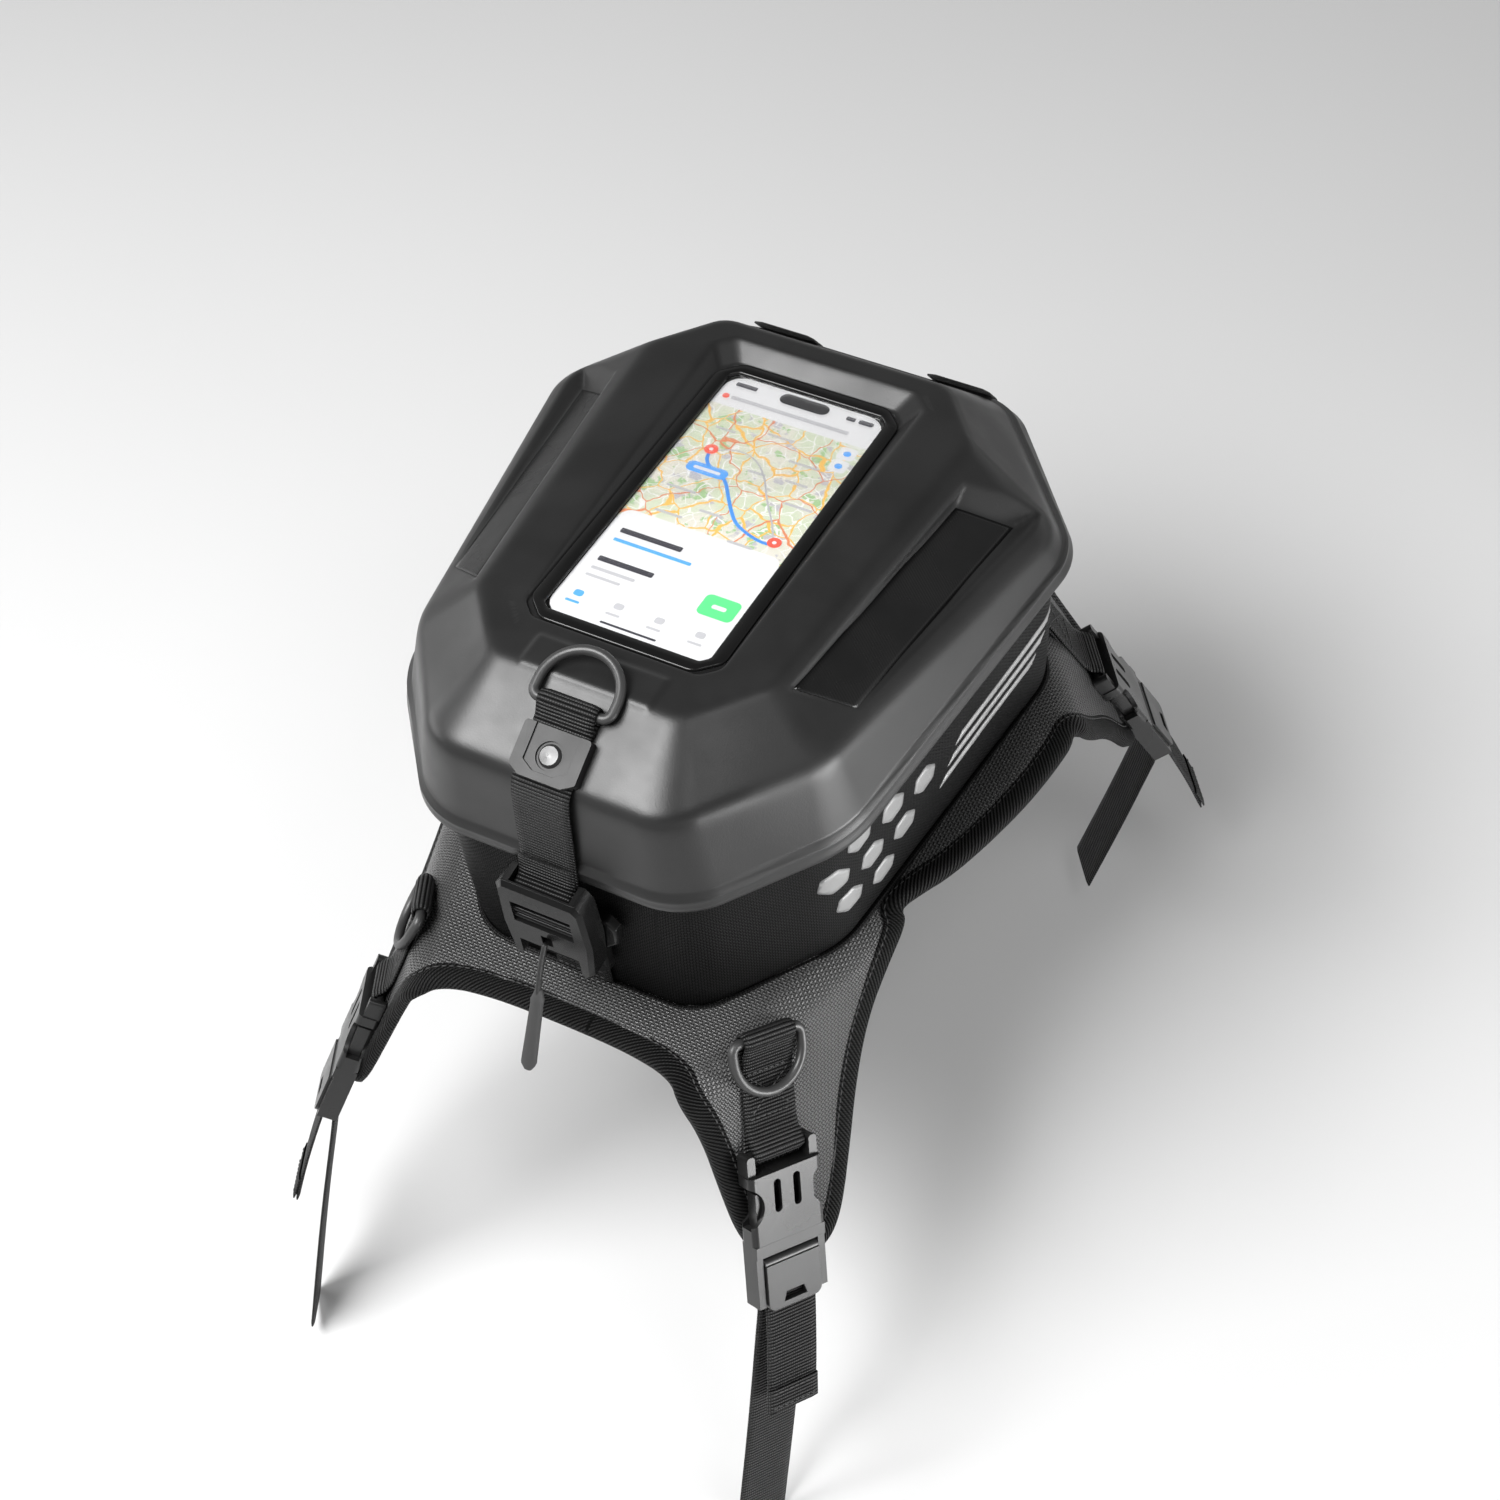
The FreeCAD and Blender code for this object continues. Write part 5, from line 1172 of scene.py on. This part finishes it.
def build_anchor(leg, side, hand):
    """Sewn webbing loop between the harness and the buckle."""
    place = leg_frame(leg, side)
    ring = leg == "rear"
    path = arc(*RING_BAR, 3.2, 70, 265) if ring else [(0.8, LOW_LAYER + 0.02)]
    path += [(6, LOW_LAYER), (24, LOW_LAYER), (41, LOW_LAYER + 0.1)]
    path += arc(*SOCKET_BAR, 3.0, -80, 100)
    path += [(43, HIGH_LAYER + 1.4), (38, HIGH_LAYER + 0.1), (24, HIGH_LAYER)]
    path += [(13, HIGH_LAYER + 0.1), (6, 4.6)] if ring else [(6, HIGH_LAYER), (0.8, HIGH_LAYER)]
    name = "%s_%s" % (leg, hand)
    loop = webbing("anchor_loop_" + name, put(place, [(x, 0, z) for x, z in path]),
                   way_of(place, (0, 1, 0)), "bag", closed=ring)
    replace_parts(loop, "anchor_webbing_" + name)
    # rows of stitching across the loop and a cross between them
    up = way_of(place, (0, 0, 1))
    level = HIGH_LAYER + 1.0
    for number, x in enumerate((14.0, 33.5) if ring else (3.0, 26.0)):
        row = put(place, [(x, y, level) for y in np.linspace(-10.5, 10.5, 12)])
        stitches("anchor_row_%s_%d" % (name, number), row, up, "bag")
    ends = (15.5, 32.0) if ring else (5.0, 24.0)
    for number, sign in enumerate((1, -1)):
        row = put(place, [(x, sign * y, level) for x, y in
                          zip(np.linspace(*ends, 12), np.linspace(-9.5, 9.5, 12))])
        stitches("anchor_cross_%s_%d" % (name, number), row, up, "bag", radius=0.3)


def build_strap(leg, side, hand):
    """Adjusting strap round the plug's bar: long run below, short tail on top."""
    place = leg_frame(leg, side)
    length, bend = (122.0, 14.0) if leg == "rear" else (95.0, 46.0)
    x, z = WRAP_BAR
    middle, knee = 1.7 + 0.35 + 0.8, 117.0
    low, high = z - middle, z + middle
    fall, steep = math.radians(bend), math.radians(5)

    def on_tail(s, lift, y=0.0):
        return (knee + s * math.cos(steep), y, high - s * math.sin(steep) + lift)

    end = (knee + length * math.cos(fall), low - length * math.sin(fall))
    path = [on_tail(49, -1.0)[::2], (knee + 30, high - 2.6), (knee + 8, high - 0.7),
            (knee - 4, high), (knee - 9, high)]
    path += arc(x, z, middle, 90, 270)
    path += [(knee - 6, low), (knee, low), (knee + 12 * math.cos(fall), low - 12 * math.sin(fall)),
             ((knee + end[0]) / 2, (low + end[1]) / 2 + 0.8), end]
    curve = put(place, [(a, 0, b) for a, b in rounded_path(path, 2)])
    name = "%s_%s" % (leg, hand)
    body, across = "plug_" + name, way_of(place, (0, 1, 0))
    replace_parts(webbing("strap_run_" + name, curve, across, body), "strap_" + name)
    # hem: the tail's end folded over and sewn
    hem = put(place, [on_tail(s, 0.62) for s in (37.5, 43, 48.6)])
    webbing("strap_hem_" + name, hem, across, body, thickness=1.3)
    up = way_of(place, (math.sin(steep), 0, math.cos(steep)))
    for number, s in enumerate((39.5, 46.5)):
        row = put(place, [on_tail(s, 1.5, y) for y in np.linspace(-11, 11, 12)])
        stitches("strap_row_%s_%d" % (name, number), row, up, body, radius=0.3)


def build_hardware():
    for leg in LEGS:
        for side, hand in SIDES:
            build_anchor(leg, side, hand)
            build_strap(leg, side, hand)
            for node in ("buckle_socket_", "buckle_plug_", "cam_lever_"):
                dress("%s%s_%s" % (node, leg, hand), "plastic")
    for node in ("dring_rear_left", "dring_rear_right", "lid_dring"):
        dress(node, "metal", 0)


# ------------------------------------------------------------------ closure

# bar of the closure buckle: (Y, Z)
CLASP_BAR = (-145.6, 81.0)


def facet_place():
    """Frame on the lid's rider-end facet: X down the slope, Z out of it."""
    top = np.array([0, -96, PLATEAU_LEVEL + 96 * TAN_PLATEAU])
    low = np.array([0, -132, BROW_LEVEL + 132 * TAN_BROW])
    run = unit(low - top)
    out = np.array([0, run[2], -run[1]])
    out = out if out[2] > 0 else -out
    return matrix_of((run, np.cross(out, run), out), top)


def build_closure():
    """Ring loop, closure strap and catch backing, with the hard parts they hold."""
    place = facet_place()
    wide = (1.0, 0, 0)
    ring_at = 10.0
    path = arc(ring_at, 3.9, 3.2, 70, 265)
    path += [(ring_at + 4, LOW_LAYER), (18.3, LOW_LAYER), (18.4, HIGH_LAYER),
             (ring_at + 6, HIGH_LAYER + 0.2), (ring_at + 3.4, 5.0)]
    loop = webbing("ring_loop", put(place, [(x, 0, z) for x, z in path]), wide, "lid", closed=True)
    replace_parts(loop, "ring_webbing")

    # down the facet, over the lip, round the buckle's bar and back up as a short tail
    path = [tuple(place @ Vector((x, 0, z)))[1:]
            for x, z in ((19.6, 1.25), (34, 1.25), (40.5, 1.6))]
    path += [(-135.4, 128), (-136.6, 118), (-138.2, 104), (-139.6, 92), (-140.4, 86.5)]
    path += [(CLASP_BAR[0] - 2.9 * math.cos(a), CLASP_BAR[1] + 2.9 * math.sin(a))
             for a in np.radians(np.linspace(170, 440, 16))]
    path += [(-142.9, 85.4), (-141.6, 90), (-141.0, 95)]
    strap = webbing("closure_strap_run", [(0, y, z) for y, z in rounded_path(path, 2)], wide, "lid")
    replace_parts(strap, "closure_strap")

    back = rounded_path([(0, -134.9, 9), (0, -135.1, 30), (0, -134.6, 50), (0, -133.6, 64)], 2)
    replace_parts(webbing("catch_backing", back, wide, "bag", width=26.0), "catch_webbing")
    for number, z in enumerate((11.5, 16.0)):
        row = [(x, -136.1, z) for x in np.linspace(-11.5, 11.5, 14)]
        stitches("catch_row_%d" % number, row, (0, -1, 0), "bag")

    for node, surface, width in (("closure_buckle", "clasp", 0.5), ("catch_plate", "clasp", 0.6),
                                 ("keeper_plate", "plate", 0.35), ("keeper_rivet", "rivet", 0)):
        dress(node, surface, width)


def build_release():
    """Release cord of two twisted strands, with its moulded tab."""
    start = np.array([0, -153.5, 56.2])
    way, sag = np.array([0, -0.5, -0.866]), np.array([0, -0.866, 0.5])
    turn = np.linspace(0, 2 * math.pi, 12, endpoint=False)
    ring = circle(12)
    path, section = [], []
    for i, s in enumerate(np.linspace(0, 1, 40)):
        path.append(start + way * 25 * s + sag * 0.9 * math.sin(math.pi * s))
        braid = 1.25 + 0.32 * np.cos(2 * turn) + 0.10 * np.sin(4 * turn + i * 1.4)
        section.append(ring * braid[:, None])
    cord = sweep("release_cord", path, section, "cord", (1, 0, 0))
    fit(cord, "cord", "pull_cord", "pull_cord")

    path, section = [], []
    for s in np.linspace(0, 1, 36):
        path.append(start + way * (20.5 + 37 * s))
        half = (2.4 + 0.9 * s) * min(1.0, 0.55 + 4 * s) * min(1.0, 0.5 + 7 * (1 - s))
        half += 0.25 * math.exp(-((s - 0.12) / 0.03) ** 2)
        deep = 2.1 * min(1.0, 0.7 + 3 * s) * min(1.0, 0.6 + 6 * (1 - s))
        section.append(squared(ring, 0.7) * np.array([deep, half]))
    tab = sweep("release_tab", path, section, "rubber", (1, 0, 0))
    fit(tab, "tab_rubber", "pull_cord", "pull_tab")


def build_hinge_tabs():
    """Webbing hinges at the handlebar end: each is one strip from body to lid."""
    path = rounded_path([(137.4, 52), (137.7, 62), (139.6, 71), (144.0, 79), (146.0, 84),
                         (145.0, 87.8), (142.5, 91.5), (138.0, 98.4)], 2)
    for side, hand in SIDES:
        x = side * 41.0
        strip = webbing("hinge_webbing_" + hand, [(x, y, z) for y, z in path], (1, 0, 0), None,
                        width=29.0, thickness=1.7)
        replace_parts(strip, "hinge_tab_body_" + hand, "hinge_tab_lid_" + hand)
        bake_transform(strip)


# ------------------------------------------------------------------ marks on the walls


def wall_frame(side):
    """Frame on a long wall: X along it from the rider's end, Y up it, Z out."""
    low_rider, low_bars = np.array([88, -80, 5.0]), np.array([109, 76, 5.0])
    top_rider, top_bars = np.array([90.5, -75.5, 86]), np.array([112.5, 69.5, 86])
    centre = (low_rider + low_bars + top_rider + top_bars) / 4
    run = (low_bars + top_bars - low_rider - top_rider) / 4
    up = (top_rider + top_bars - low_rider - low_bars) / 4
    out = unit(np.cross(run, up))
    origin, run = centre - run - up, unit(run)
    flip = np.array([side, 1, 1])
    return origin * flip, run * flip, np.cross(out, run) * flip, out * flip


def clipped(corners, amount):
    """Closed outline with each corner cut by a short chamfer."""
    points = []
    for i, here in enumerate(corners):
        for other in (corners[i - 1], corners[(i + 1) % len(corners)]):
            points.append(tuple(here + unit(other - here) * amount))
    return points


def mark_shapes():
    """Hexagons in a slanted pattern, and three slanted bars, in the wall's frame."""
    start, step, rise = np.array([55.5, 48.0]), np.array([-22.5, 7.5]), np.array([7.5, -21.0])
    corners = ((2, 1), (1, 2), (-1, 1), (-2, -1), (-1, -2), (1, -1))
    hexes = [[start + i * step + j * rise + 0.21 * (a * step + b * rise) for a, b in corners]
             for i, j in ((0, 0), (1, 0), (2, 0), (1, 1), (2, 1), (3, 1), (2, 2), (3, 2))]
    bars = [np.array([(begin, level), (end, level + 4), (end + 5, level + 8.5),
                      (begin + 5, level + 4.5)])
            for begin, end, level in ((66, 136, 27), (72, 143, 35), (78, 150, 43))]
    return (("patch", "hex_patches_", hexes), ("bar", "side_stripes_", bars))


def build_marks():
    """Reflective hexagon patches and plain bars, laid on the cloth of the wall."""
    n = Nodes("reflective_print")
    cell = n.add("TexVoronoi", None, Vector=n.place(), Scale=2200.0).outputs["Distance"]
    cloud = n.noise(n.place(), 60.0, 3.0)
    surface = n.surface(Base_Color=n.mix(cloud, grey(0.26), grey(0.36)), Metallic=0.35,
                        Roughness=n.ramp(cell, 0.2, 0.6, 0.35, 0.5),
                        Normal=n.bump(cell, 0.25, 0.0003))
    graph = bpy.context.evaluated_depsgraph_get()
    wall = bpy.data.objects["bag_wall"].evaluated_get(graph)
    for side, hand in SIDES:
        origin, run, up, out = wall_frame(side)
        for kind, node, shapes in mark_shapes():
            points, faces = [], []
            for shape in shapes:
                loop = resample(clipped(shape, 0.6), 1.2, True)
                flat, fill = filled(loop, 2.6, 1.0)
                first = len(points)
                for (x, y), edge in zip(flat, distance_to(flat, loop) < 0.01):
                    base = origin + run * x + up * y
                    hit, where, _, _ = wall.ray_cast(Vector((base + out * 6) * MM), Vector(-out))
                    if hit:
                        base = np.array(where) / MM
                    points.append(base + out * (0.12 if edge else 0.45))
                faces += [tuple(first + k for k in (f if side > 0 else reversed(f))) for f in fill]
            mark = make("wall_%ss_%s" % (kind, hand), points, faces, surface)
            thicken(mark, 0.5)
            fit(mark, "reflective", "bag", node + hand)


# ------------------------------------------------------------------ inside

# half width, half length and corner radius of the phone pocket
POCKET = (38, 80, 9)


def build_liner():
    """Lining of the body: walls that follow the shell, and a flat floor."""
    walls = 16
    rows = []
    for s in np.linspace(1, 0, walls):
        row = wall_point(s, 9.2 + (85.4 - 9.2) * s)
        row[:, :2] = inset(row[:, :2], 5.7 + 0.5 * (1 - s) ** 8)
        row[:, :2] -= np.sign(row[:, :2]) * 0.4 * np.sin(row[:, 2:] * 0.25 + row[:, :1] * 0.11)
        rows.append(row)
    foot = rows[-1][:, :2]
    rows += [flat_at(foot * k, 13.9 - 0.6 * k ** 8) for k in (0.97, 0.8, 0.5)]
    rows = np.array(rows)
    uv = [(v, i * 5.0) if i < walls else (p[0], p[1])
          for i, row in enumerate(rows) for v, p in zip(run_of(TOP_LINE), row)]
    liner = loft("bag_liner", rows, capped(rows, False), "liner", uv)
    thicken(liner, 1.0, 1.0)
    fit(liner, "liner_fabric", "bag", "body_liner")


def build_inside():
    """Stiffened mouth, seal, phone pocket and its flap, floor board and grip pad."""
    build_liner()
    soft = squared(circle(20), 0.5) * np.array([2.9, 1.45])
    rim = sweep("bag_rim", flat_at(inset(TOP_LINE, 3.0), 87.4), soft, "lid", closed=True)
    fit(rim, "shell_eva", "bag", "body_rim")
    seal = sweep("lid_gasket", flat_at(inset(RIM_LINE, 6.1), 87.2), soft * np.array([0.7, 0.65]),
                 "rubber", closed=True)
    fit(seal, "seal_rubber", "lid", "lid_seal")

    pocket = ring_rows([(-2, -5.4), (6.6, -5.2), (7, -5.8), (7, -10.8), (6.2, -11.6),
                        (2, -11.9)], *POCKET)
    tray = loft("window_pocket", pocket, capped(pocket, False), "lining")
    thicken(tray, 0.8)
    fit(tray, "liner_fabric", "lid", "phone_pocket")
    flap = ring_rows([(2, -12.2), (6.4, -12.2), (6.9, -12.6), (7, -13.1), (6.9, -13.6),
                      (6.4, -14), (4.5, -14.1), (4, -13.7), (3.2, -13.7), (2.7, -14.1),
                      (1, -14.2)], *POCKET)
    cover = loft("window_pocket_flap", flap, capped(flap, True), "lining")
    fit(cover, "liner_fabric", "pocket_flap", "pocket_flap")
    dress("floor_board", "board", 0.6)

    # pad under the harness: the floor's outline, drawn to the size of its CAD box
    lo, hi = [np.array(corner)[:2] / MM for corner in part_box("grip_pad")]
    line = inset(FLOOR_LINE, 4.4)
    low, high = line.min(0), line.max(0)
    middle = (lo[1] + hi[1]) / 2
    line[:, 0] *= hi[0] / high[0]
    line[:, 1] = middle + (line[:, 1] - (high[1] + low[1]) / 2) * (hi[1] - lo[1]) / (
        high[1] - low[1])
    rows = np.array([flat_at(line * k + np.array([0, middle * (1 - k)]), z)
                     for k, z in ((0.5, 1.9), (0.985, 1.9), (1, 1.4), (1, 0.6), (0.985, 0.1),
                                  (0.9, 0.0), (0.6, 0.0))])
    pad = loft("grip_sheet", rows, capped(rows, True), "rubber")
    fit(pad, "grip_rubber", "bag", "grip_pad")


# ------------------------------------------------------------------ room

FLOOR_REACH = 6000
CAMERA_AXES = ((0.88478, 0.45705, -0.09092), (-0.32191, 0.74052, 0.58992),
               (0.33695, -0.49268, 0.80233))
CAMERA_PLACE = (0.3974, -0.5770, 0.9307)


def area_light(name, place, target, size, power, ratio=1.0):
    """Rectangular light aimed at a point, in metres and watts."""
    data = bpy.data.lights.new(name, "AREA")
    data.shape = "RECTANGLE"
    data.size, data.size_y = size, size * ratio
    data.energy = power
    light = bpy.data.objects.new(name, data)
    light.location = place
    light.rotation_euler = (Vector(target) - Vector(place)).to_track_quat("-Z", "Y").to_euler()
    bpy.context.scene.collection.objects.link(light)
    return light


def studio_world():
    """Pale surroundings, bright at the horizon and dim overhead."""
    world = bpy.data.worlds.new("studio")
    world.use_nodes = True
    tree = world.node_tree
    tree.nodes.clear()
    place, split, shade, back, out = [tree.nodes.new("ShaderNode" + kind) for kind in (
        "TexCoord", "SeparateXYZ", "MapRange", "Background", "OutputWorld")]
    for i, value in enumerate((0.05, 0.6, 0.85, 0.12)):
        shade.inputs[i + 1].default_value = value
    back.inputs["Color"].default_value = grey(1.0)
    for source, slot in ((place.outputs["Generated"], split.inputs[0]),
                         (split.outputs[2], shade.inputs[0]),
                         (shade.outputs[0], back.inputs["Strength"]),
                         (back.outputs[0], out.inputs[0])):
        tree.links.new(source, slot)
    return world


def build_room():
    """Floor, lights, surroundings and camera, in metres."""
    n = Nodes("studio_floor")
    look = n.surface(Base_Color=n.mix(n.noise(n.place(), 1.5, 2.0), grey(0.62), grey(0.66)),
                     Roughness=0.6)
    corners = [(x * FLOOR_REACH, y * FLOOR_REACH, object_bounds()[0].z / MM)
               for x, y in ((-1, -1), (1, -1), (1, 1), (-1, 1))]
    floor = make("studio_floor", corners, [(0, 1, 2, 3)], look)
    lights = [
        area_light("key", (-0.38, -0.62, 1.28), (0, -0.08, 0.1), 0.95, 34.0, ratio=0.6),
        area_light("side", (0.98, -0.10, -0.075), (0.14, -0.18, -0.05), 0.62, 8.5, ratio=0.36),
        area_light("corner", (0.72, -0.15, 1.26), (0.07, -0.09, 0.14), 0.42, 2.6),
        area_light("fill", (-1.4, -0.3, 0.4), (0, 0, 0.05), 0.9, 6.0, ratio=0.6),
    ]
    # main view: from the rider's right, looking steeply down
    data = bpy.data.cameras.new("camera")
    data.lens, data.sensor_width = 65.4, 36.0
    camera = bpy.data.objects.new("camera", data)
    camera.matrix_world = matrix_of(CAMERA_AXES, CAMERA_PLACE)
    scene = bpy.context.scene
    scene.world = studio_world()
    scene.view_settings.view_transform = "Standard"
    scene.collection.objects.link(camera)
    scene.camera = camera
    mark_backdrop(floor, camera, *lights)


for build in (build_lid, build_inlays, build_window, build_screen, build_body, build_marks,
              build_harness, build_hardware, build_closure, build_release, build_hinge_tabs,
              build_inside, build_room):
    build()
